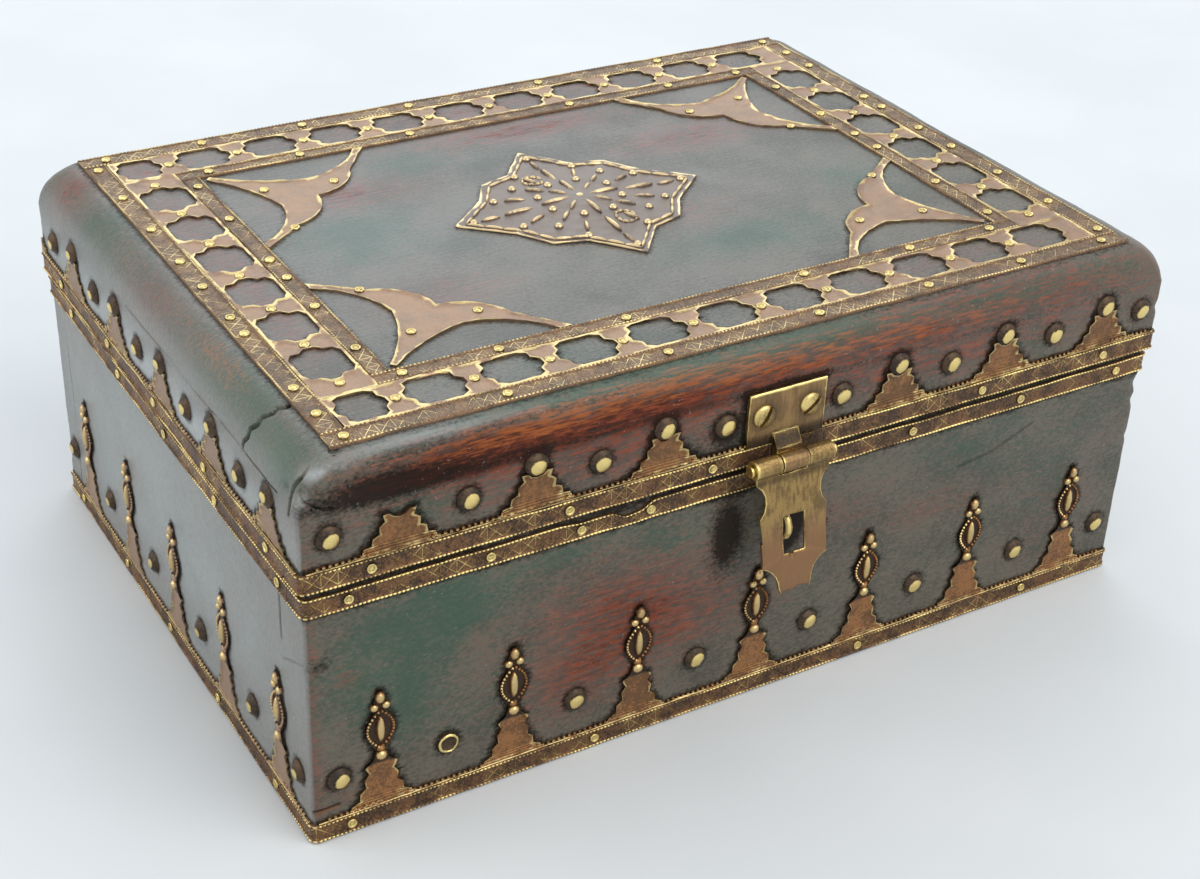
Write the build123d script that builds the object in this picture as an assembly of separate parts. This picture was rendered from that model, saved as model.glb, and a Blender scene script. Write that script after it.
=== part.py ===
from build123d import *
import math
import os

# A low wooden storage box with a lift-up lid, dressed in thin brass sheet.
# Millimetres. Origin: centre of the case footprint, on the surface it stands on.
# -Y is the front with the hasp, -X the left side, +Z up.

# Case joinery
CASE_WIDTH = 280.0
CASE_DEPTH = 198.0
CASE_HEIGHT = 80.4
BASE_THICKNESS = 10.5
FRONT_BOARD = 16.0
BACK_BOARD = 14.0
SIDE_BOARD = 13.0
CORNER_RADIUS = 1.6
CORNER_FACETS = 3
ARRIS = 0.8

# Lid joinery: four moulded rails round a flat panel
LID_OVERHANG = 1.0
LID_GAP = 0.6
LID_HEIGHT = 36.6
LID_SIDE_WALL = 19.0
LID_END_WALL = 16.0
BULLNOSE_DROP = 13.0
BULLNOSE_SIDE_RUN = 12.0
BULLNOSE_FRONT_RUN = 6.0
BULLNOSE_FACETS = 9
PANEL_THICKNESS = 9.0
PANEL_JOINT = 0.1

# Brass sheet, strips with two raised edges
SHEET = 0.5
EDGE_BEAD_WIDTH = 0.9
EDGE_BEAD_HEIGHT = 0.45
WALL_STRIP_WIDTH = 5.9
STRIP_RETURN = 9.0
STRIP_JOINT = 0.15
FOOT_STRIP_LIFT = 0.5
OUTER_STRIP_WIDTH = 6.8
INNER_STRIP_WIDTH = 5.6

# Crests: bands cut into stepped points between toothed arches
ARCH_RADIUS = 15.2
TOOTH_COUNT = 12
TOOTH_DEPTH = 1.1
CREST_END = 14.0
LID_ARCH_RISE = 14.6
LID_CREST_HEIGHT = 11.4
LID_CREST_PITCH = 38.7
LID_FRONT_SHIFT = 2.0
LID_LEFT_PITCH = 37.3
LID_LEFT_SHIFT = 7.5
CASE_ARCH_RISE = 12.4
CASE_CREST_HEIGHT = 13.6
CASE_CREST_PITCH = 39.7
CASE_FRONT_SHIFT = -1.0
CASE_SIDE_PITCH = 38.7
CASE_LEFT_SHIFT = 2.0
FINIAL_NECK_HALF = 1.5
FINIAL_BEAD_HALF = 2.3
FINIAL_ALMOND_HALF = 4.2
FINIAL_HEIGHT = 24.6

# Domed nails
NAIL_RADIUS = 3.3
NAIL_HEIGHT = 2.5
NAIL_CROWN_SHARE = 0.62
NAIL_SIDES = 8
LOW_NAIL_RISE = 8.8
NAIL_ABOVE_POINT = 1.9
CASE_NAIL_RISE = 13.0
END_NAIL_INSET = 8.0
NAIL_SEAT = 0.1

# Pierced border on the lid
WINDOW_PITCH = 22.2
WINDOW_HALF_LENGTH = 8.8
WINDOW_BODY_HALF = 6.9
WINDOW_RIM = 0.8
CORNER_WINDOW_LEAST = 5.4
BORDER_SIDE_WIDTH = 16.4
BORDER_FRONT_WIDTH = 15.2
FIRST_WEB_X = 0.9
FIRST_WEB_Y = 5.6
BORDER_FIT = 0.1

# Spandrels and the medallion on the lid
SPANDREL_LEG = 54.0
SPANDREL_TIP = 3.5
SPANDREL_CUSP = 27.0
SPANDREL_FACETS = 6
MEDALLION_X = -4.0
MEDALLION_Y = 2.0
MEDALLION_HALF_X = 42.0
MEDALLION_HALF_Y = 39.0
MEDALLION_CROWN = 2.4

# Butt hinges let into the back edges
HINGE_INSET = 52.0
HINGE_LENGTH = 38.0
HINGE_LEAF_DEPTH = 10.5
HINGE_LEAF = 1.2
HINGE_LEAF_SPLIT = 0.3
HINGE_BARREL_RADIUS = 2.6
HINGE_PIN_RADIUS = 1.3
HINGE_AXIS_OUTSET = 0.6
HINGE_SCREW_RADIUS = 2.2
HINGE_SCREW_SPACING = 22.0
HINGE_SCREW_INSET = 5.8
SCREW_SIDES = 8
ROD_SIDES = 12
HINGE_MIDDLE_SHARE = 0.4
KNUCKLE_GAP = 0.35
BARREL_CLEARANCE = 0.35
PIN_CLEARANCE = 0.05
MORTISE_FIT = 0.1

# Hasp and staple
HASP_X = 2.0
HASP_PLATE_WIDTH = 25.5
HASP_PLATE_HEIGHT = 16.7
HASP_PLATE = 1.2
HASP_TONGUE_RISE = 3.2
HASP_TONGUE_ROOT = 0.4
HASP_TONGUE_DIP = 0.6
HASP_BARREL_LENGTH = 26.0
HASP_BARREL_RADIUS = 2.8
HASP_MIDDLE_SHARE = 0.34
HASP_PIN_RADIUS = 1.2
HASP_PIN_HEAD = 0.8
HASP_PIN_HEAD_RADIUS = 1.7
HASP_AXIS_OUTSET = 5.4
HASP_AXIS_RISE = 2.6
HASP_LEAF = 1.1
HASP_LEAF_LENGTH = 39.4
HASP_SHOULDER_HALF = 12.2
HASP_LOBE_HALF = 11.2
HASP_TIP_HALF = 4.9
HASP_CURVE_FACETS = 5
HASP_SLOT_WIDTH = 7.2
HASP_SLOT_HEIGHT = 11.4
HASP_SLOT_DROP = 21.9
HASP_REST_TILT = 10.0
HASP_CLOSED_TILT = 5.0
HASP_SCREW_SPACING = 15.8
HASP_SCREW_DROP = 7.3
SCREW_HEAD_RADIUS = 3.3
SCREW_CROWN_RADIUS = 2.0
SCREW_HEAD_HEIGHT = 1.4
SCREW_SLOT_WIDTH = 0.8
SCREW_SLOT_DEPTH = 0.7
STAPLE_WIRE = 2.2
STAPLE_SIDES = 8
STAPLE_BENDS = 7
STAPLE_HEIGHT = 10.2
STAPLE_REACH = 9.2

# Places worked out from the sizes above
RIM = CASE_HEIGHT
LID_BOTTOM = RIM + LID_GAP
LID_TOP = LID_BOTTOM + LID_HEIGHT
LID_WIDTH = CASE_WIDTH + 2 * LID_OVERHANG
LID_DEPTH = CASE_DEPTH + 2 * LID_OVERHANG
OUTER_STRIP_HALF_X = LID_WIDTH / 2 - BULLNOSE_SIDE_RUN
OUTER_STRIP_HALF_Y = LID_DEPTH / 2 - BULLNOSE_FRONT_RUN
INNER_STRIP_HALF_X = OUTER_STRIP_HALF_X - OUTER_STRIP_WIDTH - BORDER_SIDE_WIDTH
INNER_STRIP_HALF_Y = OUTER_STRIP_HALF_Y - OUTER_STRIP_WIDTH - BORDER_FRONT_WIDTH
PANEL_HALF_X = OUTER_STRIP_HALF_X - OUTER_STRIP_WIDTH / 2
PANEL_HALF_Y = OUTER_STRIP_HALF_Y - OUTER_STRIP_WIDTH / 2
PANEL_UNDERSIDE = LID_TOP - PANEL_THICKNESS
LID_STRIP_BOTTOM = LID_BOTTOM + ARRIS
LID_STRIP_TOP = LID_STRIP_BOTTOM + WALL_STRIP_WIDTH
RIM_STRIP_TOP = RIM - ARRIS
RIM_STRIP_BOTTOM = RIM_STRIP_TOP - WALL_STRIP_WIDTH
FOOT_STRIP_TOP = FOOT_STRIP_LIFT + WALL_STRIP_WIDTH
LID_CREST_BASE = LID_STRIP_TOP + STRIP_JOINT
CASE_CREST_BASE = FOOT_STRIP_TOP + STRIP_JOINT
HINGE_X = CASE_WIDTH / 2 - HINGE_INSET
HINGE_AXIS_Y = CASE_DEPTH / 2 + HINGE_AXIS_OUTSET
HINGE_AXIS_Z = RIM + LID_GAP / 2
HASP_AXIS_Y = -LID_DEPTH / 2 - HASP_AXIS_OUTSET
HASP_AXIS_Z = LID_BOTTOM + HASP_AXIS_RISE
HASP_PLATE_BOTTOM = LID_STRIP_TOP + STRIP_JOINT
BEYOND = 3 * (CASE_WIDTH + CASE_DEPTH)


def wall_plane(side, width, depth):
    """Plane on one outer wall: local x to the right seen from outside, local y up."""
    planes = {
        "front": Plane((0, -depth / 2, 0), x_dir=(1, 0, 0), z_dir=(0, -1, 0)),
        "back": Plane((0, depth / 2, 0), x_dir=(-1, 0, 0), z_dir=(0, 1, 0)),
        "left": Plane((-width / 2, 0, 0), x_dir=(0, -1, 0), z_dir=(-1, 0, 0)),
        "right": Plane((width / 2, 0, 0), x_dir=(0, 1, 0), z_dir=(1, 0, 0)),
    }
    return planes[side]


def block(x_range, y_range, z_range):
    """Plain block between two values on each axis."""
    size = [high - low for low, high in (x_range, y_range, z_range)]
    middle = [(high + low) / 2 for low, high in (x_range, y_range, z_range)]
    return Pos(*middle) * Box(*size)


def sheet_from(points, thickness, plane):
    """Flat sheet cut to a closed outline, rising off the plane."""
    outline = make_face(Polyline(*points, close=True))
    return extrude(plane * outline, amount=thickness)


def rounded_prism(width, depth, radius, z_range):
    """Upright prism whose vertical corners are rounded in a few facets."""
    low, high = z_range
    points = []
    for quarter, (x_sign, y_sign) in enumerate(((1, 1), (-1, 1), (-1, -1), (1, -1))):
        x, y = x_sign * (width / 2 - radius), y_sign * (depth / 2 - radius)
        for step in range(CORNER_FACETS + 1):
            angle = math.pi / 2 * (quarter + step / CORNER_FACETS)
            points.append((x + radius * math.cos(angle), y + radius * math.sin(angle)))
    outline = make_face(Polyline(*points, close=True))
    return extrude(Plane.XY.offset(low) * outline, amount=high - low)


def x_rod(radius, length, centre):
    """Round bar along X about a centre point, its flats inside the radius."""
    return Pos(*centre) * Rot(0, 90, 0) * extrude(RegularPolygon(radius, ROD_SIDES), length / 2, both=True)


def x_bore(radius, length, centre):
    """Round hole along X about a centre point, its flats outside the radius."""
    return x_rod(radius / math.cos(math.pi / ROD_SIDES), length, centre)


def tapered_head(plane, radius, crown_radius, height, sides):
    """Faceted head that narrows from its foot on a plane to its crown."""
    inset = (radius - crown_radius) * math.cos(math.pi / sides)
    taper = math.degrees(math.atan2(inset, height))
    return plane.location * extrude(RegularPolygon(radius, sides), amount=height, taper=taper)


def arc_steps(start, middle, end, steps):
    """Points along the arc through three points, its end left out."""
    arc = ThreePointArc(start, middle, end)
    places = [arc @ (step / steps) for step in range(steps)]
    return [(place.X, place.Y) for place in places]


def hinge_centres():
    """Middle of each hinge barrel."""
    return [(x, HINGE_AXIS_Y, HINGE_AXIS_Z) for x in (-HINGE_X, HINGE_X)]


def barrel_grooves():
    """Round grooves that leave the hinge barrels room in wood and strips."""
    radius = HINGE_BARREL_RADIUS + BARREL_CLEARANCE
    length = HINGE_LENGTH + 2 * BARREL_CLEARANCE
    return [x_bore(radius, length, centre) for centre in hinge_centres()]


def leaf_mortise(centre, upper):
    """Shallow housing for one hinge leaf, in the case rim or the lid's lower edge."""
    x, y, z = centre
    reach = HINGE_LEAF_SPLIT / 2 + HINGE_LEAF
    z_range = (z, z + reach) if upper else (z - reach, z)
    half = HINGE_LENGTH / 2 + MORTISE_FIT
    return block((x - half, x + half), (y - HINGE_LEAF_DEPTH - MORTISE_FIT, y + BEYOND), z_range)


# Case
def case_boards():
    """Walls cut from one ring with a worn upper arris, and the base board under them."""
    walls = rounded_prism(CASE_WIDTH, CASE_DEPTH, CORNER_RADIUS, (BASE_THICKNESS, RIM))
    walls = chamfer(walls.faces().sort_by(Axis.Z)[-1].edges(), ARRIS)
    inner_x = CASE_WIDTH / 2 - SIDE_BOARD
    inner_front = -CASE_DEPTH / 2 + FRONT_BOARD
    inner_back = CASE_DEPTH / 2 - BACK_BOARD
    walls -= block((-inner_x, inner_x), (inner_front, inner_back), (0, BEYOND))
    for groove in barrel_grooves():
        walls -= groove
    for centre in hinge_centres():
        walls -= leaf_mortise(centre, upper=False)
    front = walls & block((-BEYOND, BEYOND), (-BEYOND, inner_front), (0, BEYOND))
    back = walls & block((-BEYOND, BEYOND), (inner_back, BEYOND), (0, BEYOND))
    left = walls & block((-BEYOND, 0), (inner_front, inner_back), (0, BEYOND))
    right = walls & block((0, BEYOND), (inner_front, inner_back), (0, BEYOND))
    base = rounded_prism(CASE_WIDTH, CASE_DEPTH, CORNER_RADIUS, (0, BASE_THICKNESS))
    return {
        "case_front_board": front,
        "case_back_board": back,
        "case_left_board": left,
        "case_right_board": right,
        "base_board": base,
    }


# Lid
def lid_section(half, run):
    """Outline of the lid across one direction: flat face, arris below, bullnose above."""
    shoulder = LID_TOP - BULLNOSE_DROP
    right = [(half - ARRIS, LID_BOTTOM), (half, LID_BOTTOM + ARRIS)]
    for step in range(BULLNOSE_FACETS + 1):
        angle = math.pi / 2 * step / BULLNOSE_FACETS
        right.append((half - run * (1 - math.cos(angle)), shoulder + BULLNOSE_DROP * math.sin(angle)))
    left = [(-x, z) for x, z in reversed(right)]
    return make_face(Polyline(*right, *left, close=True))


def lid_timber():
    """Four mitred rails with a rabbet, and the panel that drops into it."""
    across = extrude(Plane.XZ * lid_section(LID_WIDTH / 2, BULLNOSE_SIDE_RUN), LID_DEPTH / 2, both=True)
    along = extrude(Plane.YZ * lid_section(LID_DEPTH / 2, BULLNOSE_FRONT_RUN), LID_WIDTH / 2, both=True)
    lid = across & along
    lid &= rounded_prism(LID_WIDTH, LID_DEPTH, CORNER_RADIUS, (0, BEYOND))
    inner_x = LID_WIDTH / 2 - LID_SIDE_WALL
    inner_y = LID_DEPTH / 2 - LID_END_WALL
    lid -= block((-inner_x, inner_x), (-inner_y, inner_y), (0, BEYOND))
    lid -= block((-PANEL_HALF_X, PANEL_HALF_X), (-PANEL_HALF_Y, PANEL_HALF_Y), (PANEL_UNDERSIDE, BEYOND))
    for groove in barrel_grooves():
        lid -= groove
    for centre in hinge_centres():
        lid -= leaf_mortise(centre, upper=True)
    panel_x = PANEL_HALF_X - PANEL_JOINT
    panel_y = PANEL_HALF_Y - PANEL_JOINT
    panel = block((-panel_x, panel_x), (-panel_y, panel_y), (PANEL_UNDERSIDE, LID_TOP))
    parts = {"lid_top_panel": panel}
    for side in ("front", "back", "left", "right"):
        parts["lid_" + side + "_rail"] = lid & mitre_wedge(side)
    return parts


def mitre_wedge(side):
    """Region that one rail fills, bounded by the two 45 degree mitres at its ends."""
    half_x, half_y = LID_WIDTH / 2, LID_DEPTH / 2
    sign = 1 if side in ("back", "right") else -1
    beyond = half_x
    if side in ("front", "back"):
        outer_y = sign * (half_y + beyond)
        outline = [(-half_x - beyond, outer_y), (half_x + beyond, outer_y), (half_x - half_y, 0),
                   (half_y - half_x, 0)]
    else:
        outer_x = sign * (half_x + beyond)
        outline = [(outer_x, -half_y - beyond), (outer_x, half_y + beyond), (sign * (half_x - half_y), 0)]
    return extrude(make_face(Polyline(*outline, close=True)), amount=BEYOND, dir=(0, 0, 1))


# Strips
def strip_course(name, width, depth, z_range, cutters=()):
    """Four strips round the walls, the front and back ones turned round the corners."""
    low, high = z_range
    course = rounded_prism(width + 2 * SHEET, depth + 2 * SHEET, CORNER_RADIUS + SHEET, z_range)
    proud = SHEET + EDGE_BEAD_HEIGHT
    for edge in ((low, low + EDGE_BEAD_WIDTH), (high - EDGE_BEAD_WIDTH, high)):
        course += rounded_prism(width + 2 * proud, depth + 2 * proud, CORNER_RADIUS + proud, edge)
    course -= rounded_prism(width, depth, CORNER_RADIUS, (low - 1, high + 1))
    for cutter in cutters:
        course -= cutter
    turn = depth / 2 - STRIP_RETURN
    side_reach = turn - STRIP_JOINT
    return {
        name + "_front": course & block((-BEYOND, BEYOND), (-BEYOND, -turn), (0, BEYOND)),
        name + "_back": course & block((-BEYOND, BEYOND), (turn, BEYOND), (0, BEYOND)),
        name + "_left": course & block((-BEYOND, 0), (-side_reach, side_reach), (0, BEYOND)),
        name + "_right": course & block((0, BEYOND), (-side_reach, side_reach), (0, BEYOND)),
    }


def flat_strip(x_range, y_range):
    """Strip on the lid's top with a raised bead along both long edges."""
    x_low, x_high = x_range
    y_low, y_high = y_range
    strip = block(x_range, y_range, (LID_TOP, LID_TOP + SHEET))
    crown = (LID_TOP, LID_TOP + SHEET + EDGE_BEAD_HEIGHT)
    if x_high - x_low > y_high - y_low:
        strip += block(x_range, (y_low, y_low + EDGE_BEAD_WIDTH), crown)
        strip += block(x_range, (y_high - EDGE_BEAD_WIDTH, y_high), crown)
    else:
        strip += block((x_low, x_low + EDGE_BEAD_WIDTH), y_range, crown)
        strip += block((x_high - EDGE_BEAD_WIDTH, x_high), y_range, crown)
    return strip


def top_strip_frame(name, half_x, half_y, width):
    """Frame of four strips: front and back run through, the sides butt between them."""
    between = half_y - width - STRIP_JOINT
    return {
        name + "_front": flat_strip((-half_x, half_x), (-half_y, -half_y + width)),
        name + "_back": flat_strip((-half_x, half_x), (half_y - width, half_y)),
        name + "_left": flat_strip((-half_x, -half_x + width), (-between, between)),
        name + "_right": flat_strip((half_x - width, half_x), (-between, between)),
    }


# Crests
def arch_points(centre, base, rise, top, half_length):
    """Toothed edge of one arch between two points of a crest, left to right."""
    start = math.asin((top - base - rise) / ARCH_RADIUS)
    sweep = math.pi + 2 * start
    points = []
    for step in range(2 * TOOTH_COUNT + 1):
        angle = math.pi - start + sweep * step / (2 * TOOTH_COUNT)
        radius = ARCH_RADIUS + (TOOTH_DEPTH if step % 2 else 0)
        x = centre + radius * math.cos(angle)
        z = max(base + rise + radius * math.sin(angle), base + SHEET)
        if abs(x) < half_length:
            if len(points) > 1 and points[-2][1] == points[-1][1] == z:
                points.pop()
            points.append((x, z))
    return points


def point_centres(layout, half_length):
    """Places of the points of a crest, as many as its wall has room for."""
    pitch, shift = layout
    limit = half_length - CREST_END
    first = math.ceil((-limit - shift) / pitch)
    last = math.floor((limit - shift) / pitch)
    return [shift + pitch * index for index in range(first, last + 1)]


def arch_centres(layout, half_length):
    """Places of the arches, one beyond each end point as well."""
    pitch = layout[0]
    crowns = point_centres(layout, half_length)
    return [crowns[0] - pitch / 2] + [centre + pitch / 2 for centre in crowns]


def nail_notch(centre, base):
    """Hollow in the tip of a lid point, round the nail above it."""
    radius = NAIL_RADIUS + NAIL_SEAT
    rise = base + LID_CREST_HEIGHT + NAIL_ABOVE_POINT
    edge = math.acos(NAIL_ABOVE_POINT / radius)
    turns = (-edge, -edge / 2, 0, edge / 2, edge)
    return [(centre + radius * math.sin(turn), rise - radius * math.cos(turn)) for turn in turns]


def finial(centre, base):
    """Outline of the bead, almond and bead that stand on a case point."""
    top = base + CASE_CREST_HEIGHT
    side = [
        (FINIAL_BEAD_HALF, 0.08),
        (FINIAL_NECK_HALF, 0.21),
        (FINIAL_ALMOND_HALF, 0.42),
        (FINIAL_ALMOND_HALF, 0.55),
        (FINIAL_NECK_HALF, 0.75),
        (FINIAL_BEAD_HALF, 0.82),
        (FINIAL_NECK_HALF / 2, 1.0),
    ]
    left = [(centre - half, top + share * FINIAL_HEIGHT) for half, share in side]
    right = [(centre + half, top + share * FINIAL_HEIGHT) for half, share in reversed(side)]
    return left + right


def crest(plane, half_length, base, rise, height, layout, crown):
    """Band with stepped points: base edge, arches, and a crown on each point."""
    top = base + height
    centres = arch_centres(layout, half_length)
    arches = [arch_points(centre, base, rise, top, half_length) for centre in centres]
    first_height = arches[0][0][1] if arches[0] else top
    last_height = arches[-1][-1][1] if arches[-1] else top
    points = [(half_length, base), (-half_length, base), (-half_length, first_height)] + arches[0]
    for centre, arch in zip(point_centres(layout, half_length), arches[1:]):
        points += crown(centre, base) + arch
    points.append((half_length, last_height))
    return sheet_from(points, SHEET, plane)


def lid_layout(side):
    """Spacing and shift of the lid's crest points on one side."""
    if side == "front":
        return LID_CREST_PITCH, LID_FRONT_SHIFT
    if side == "back":
        return LID_CREST_PITCH, 0.0
    return LID_LEFT_PITCH, LID_LEFT_SHIFT if side == "left" else 0.0


def case_layout(side):
    """Spacing and shift of the case's crest points on one side."""
    if side == "front":
        return CASE_CREST_PITCH, CASE_FRONT_SHIFT
    if side == "back":
        return CASE_CREST_PITCH, 0.0
    return CASE_SIDE_PITCH, CASE_LEFT_SHIFT if side == "left" else 0.0


def wall_half(side, width, depth):
    """Half the length of one wall."""
    return (width if side in ("front", "back") else depth) / 2


def crests():
    """Crests of the lid and the case on all four sides."""
    parts = {}
    for side in ("front", "back", "left", "right"):
        lid_half = wall_half(side, LID_WIDTH, LID_DEPTH) - CORNER_RADIUS
        lid_wall = wall_plane(side, LID_WIDTH, LID_DEPTH)
        band = crest(lid_wall, lid_half, LID_CREST_BASE, LID_ARCH_RISE, LID_CREST_HEIGHT,
                     lid_layout(side), nail_notch)
        if side == "front":
            band -= hasp_plate_footprint()
        parts["lid_crest_" + side] = band
        case_half = wall_half(side, CASE_WIDTH, CASE_DEPTH) - CORNER_RADIUS
        case_wall = wall_plane(side, CASE_WIDTH, CASE_DEPTH)
        parts["case_crest_" + side] = crest(case_wall, case_half, CASE_CREST_BASE, CASE_ARCH_RISE,
                                            CASE_CREST_HEIGHT, case_layout(side), finial)
    return parts


# Nails
def domed_nail(plane, x, z):
    """Head of one domed nail on a wall, faceted."""
    seat = Plane(plane * Pos(x, z))
    return tapered_head(seat, NAIL_RADIUS, NAIL_RADIUS * NAIL_CROWN_SHARE, NAIL_HEIGHT, NAIL_SIDES)


def arch_nails(layout, half):
    """Places of the nails in the arches of one wall, the end ones moved in from the corners."""
    limit = half - END_NAIL_INSET
    return [max(-limit, min(limit, x)) for x in arch_centres(layout, half) if abs(x) < half]


def lid_nails():
    """One nail in each arch of the lid and one above each point, but for the lost one."""
    nails = []
    high = LID_CREST_BASE + LID_CREST_HEIGHT + NAIL_ABOVE_POINT
    for side in ("front", "back", "left", "right"):
        plane = wall_plane(side, LID_WIDTH, LID_DEPTH)
        half = wall_half(side, LID_WIDTH, LID_DEPTH)
        layout = lid_layout(side)
        for x in arch_nails(layout, half):
            nails.append(domed_nail(plane, x, LID_CREST_BASE + LOW_NAIL_RISE))
        for index, x in enumerate(point_centres(layout, half)):
            lost = side == "front" and index == 0
            under_hasp = side == "front" and abs(x - HASP_X) < HASP_PLATE_WIDTH / 2
            if not lost and not under_hasp:
                nails.append(domed_nail(plane, x, high))
    return Compound(children=nails)


def case_nails():
    """One nail in each arch of the case."""
    nails = []
    for side in ("front", "back", "left", "right"):
        plane = wall_plane(side, CASE_WIDTH, CASE_DEPTH)
        half = wall_half(side, CASE_WIDTH, CASE_DEPTH)
        for x in arch_nails(case_layout(side), half):
            nails.append(domed_nail(plane, x, CASE_CREST_BASE + CASE_NAIL_RISE))
    return Compound(children=nails)


# Lid top
def window_outline(half_height, tip):
    """Cusped window: a wide body with a small lobe at each end, long way along X."""
    body = tip * WINDOW_BODY_HALF / WINDOW_HALF_LENGTH
    quarter = [
        (tip, half_height * 0.2),
        (body, half_height * 0.46),
        (body, half_height * 0.8),
        (body * 0.66, half_height),
    ]
    points = quarter + [(-x, y) for x, y in reversed(quarter)]
    return points + [(-x, -y) for x, y in points]


def border_centres(web, low, high):
    """Middles of the windows between two ends, one pitch apart and counted from one web's place."""
    first = math.ceil((low + WINDOW_HALF_LENGTH - web) / WINDOW_PITCH - 0.5)
    centres = []
    centre = web + WINDOW_PITCH * (first + 0.5)
    while centre + WINDOW_HALF_LENGTH < high:
        centres.append(centre)
        centre += WINDOW_PITCH
    return centres


def corner_windows(centres, low, high):
    """Middle and half length of a shorter window at each end of a band that has room for one."""
    web = WINDOW_PITCH - 2 * WINDOW_HALF_LENGTH
    found = []
    for end, nearest, sign in ((low, centres[0], 1), (high, centres[-1], -1)):
        room = sign * (nearest - end) - WINDOW_HALF_LENGTH
        half = (room - web - WINDOW_RIM) / 2
        if half > CORNER_WINDOW_LEAST:
            found.append((end + sign * (WINDOW_RIM + half), half))
    return found


def pierced_band(length_range, cross_range, web, along_x):
    """Sheet between the outer and inner strips, cut through with cusped windows."""
    low, high = length_range
    near, far = cross_range
    half_height = (far - near) / 2 - WINDOW_RIM
    middle = (far + near) / 2
    plane = Plane((0, middle, LID_TOP)) if along_x else Plane((middle, 0, LID_TOP), x_dir=(0, 1, 0))
    half_width = (far - near) / 2
    outline = make_face(Polyline((low, -half_width), (high, -half_width), (high, half_width),
                                 (low, half_width), close=True))
    centres = border_centres(web, low, high)
    windows = [(centre, WINDOW_HALF_LENGTH) for centre in centres]
    for centre, tip in windows + corner_windows(centres, low, high):
        outline -= Pos(centre, 0) * make_face(Polyline(*window_outline(half_height, tip), close=True))
    return extrude(plane * outline, amount=SHEET)


def pierced_border():
    """Four bands: the front and back ones hold the corners, the sides run between them."""
    outer_x = OUTER_STRIP_HALF_X - OUTER_STRIP_WIDTH - BORDER_FIT
    outer_y = OUTER_STRIP_HALF_Y - OUTER_STRIP_WIDTH - BORDER_FIT
    inner_x = INNER_STRIP_HALF_X + BORDER_FIT
    inner_y = INNER_STRIP_HALF_Y + BORDER_FIT
    side_end = inner_y - STRIP_JOINT
    web_x = FIRST_WEB_X - INNER_STRIP_HALF_X
    web_y = FIRST_WEB_Y - INNER_STRIP_HALF_Y
    return {
        "pierced_border_front": pierced_band((-outer_x, outer_x), (-outer_y, -inner_y), web_x, True),
        "pierced_border_back": pierced_band((-outer_x, outer_x), (inner_y, outer_y), web_x, True),
        "pierced_border_left": pierced_band((-side_end, side_end), (-outer_x, -inner_x), web_y, False),
        "pierced_border_right": pierced_band((-side_end, side_end), (inner_x, outer_x), web_y, False),
    }


def spandrel():
    """Three-legged corner piece with its corner at the origin, legs along +X and +Y."""
    leg, tip, cusp = SPANDREL_LEG, SPANDREL_TIP, SPANDREL_CUSP
    flank = (leg * 0.25, leg * 0.805)
    bulge = (leg * 0.417, leg * 0.704)
    hollow = (leg * 0.27, leg * 0.537)
    heel = leg * 0.024
    inner = arc_steps((heel, 2 * heel), (leg * 0.185, leg * 0.287), hollow, SPANDREL_FACETS)
    inner += arc_steps(hollow, (leg * 0.19, leg * 0.76), (0, leg - tip), SPANDREL_FACETS)
    outer = [(0, leg - tip), (0, leg)] + arc_steps(flank, bulge, (cusp, cusp), SPANDREL_FACETS)
    half = inner + outer
    mirrored = [(y, x) for x, y in reversed(half)]
    return make_face(Polyline(*half, (cusp, cusp), *mirrored, close=True))


def spandrels():
    """The corner piece in each corner of the inner strips."""
    corner_x = INNER_STRIP_HALF_X - INNER_STRIP_WIDTH - BORDER_FIT
    corner_y = INNER_STRIP_HALF_Y - INNER_STRIP_WIDTH - BORDER_FIT
    quarter_turns = {"front_left": 0, "front_right": 90, "back_right": 180, "back_left": 270}
    parts = {}
    for corner, turn in quarter_turns.items():
        x = -corner_x if corner.endswith("left") else corner_x
        y = -corner_y if corner.startswith("front") else corner_y
        flat = Pos(x, y, LID_TOP) * Rot(0, 0, turn) * spandrel()
        parts["spandrel_" + corner] = extrude(flat, amount=SHEET, dir=(0, 0, 1))
    return parts


def medallion():
    """Eight-rayed lozenge with a ridge to each point and a low raised middle."""
    half_x, half_y = MEDALLION_HALF_X, MEDALLION_HALF_Y
    quarter = [
        (half_x, 0),
        (half_x * 0.67, half_y * 0.31),
        (half_x * 0.52, half_y * 0.57),
        (half_x * 0.27, half_y * 0.65),
    ]
    right = quarter + [(0, half_y)] + [(-x, y) for x, y in reversed(quarter)]
    points = right + [(-x, -y) for x, y in right[1:-1]]
    outline = make_face(Polyline(*points, close=True))
    place = Pos(MEDALLION_X, MEDALLION_Y, LID_TOP)
    plate = extrude(place * outline, amount=SHEET)
    upper = Pos(0, 0, SHEET) * place * outline
    apex = Vertex(MEDALLION_X, MEDALLION_Y, LID_TOP + SHEET + MEDALLION_CROWN)
    return plate + loft([upper, apex], ruled=True)


# Hinges
def knuckle_ranges(length, share_middle):
    """Left, middle and right stretches of a three-part barrel."""
    half = length / 2
    middle = length * share_middle / 2
    gap = KNUCKLE_GAP / 2
    return [(-half, -middle - gap), (-middle + gap, middle - gap), (middle + gap, half)]


def knuckle(x_range, centre, radius, bore):
    """Rolled knuckle on a barrel axis along X."""
    x, y, z = centre
    low, high = x_range
    ring_centre = (x + (low + high) / 2, y, z)
    return x_rod(radius, high - low, ring_centre) - x_bore(bore, high - low, ring_centre)


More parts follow.
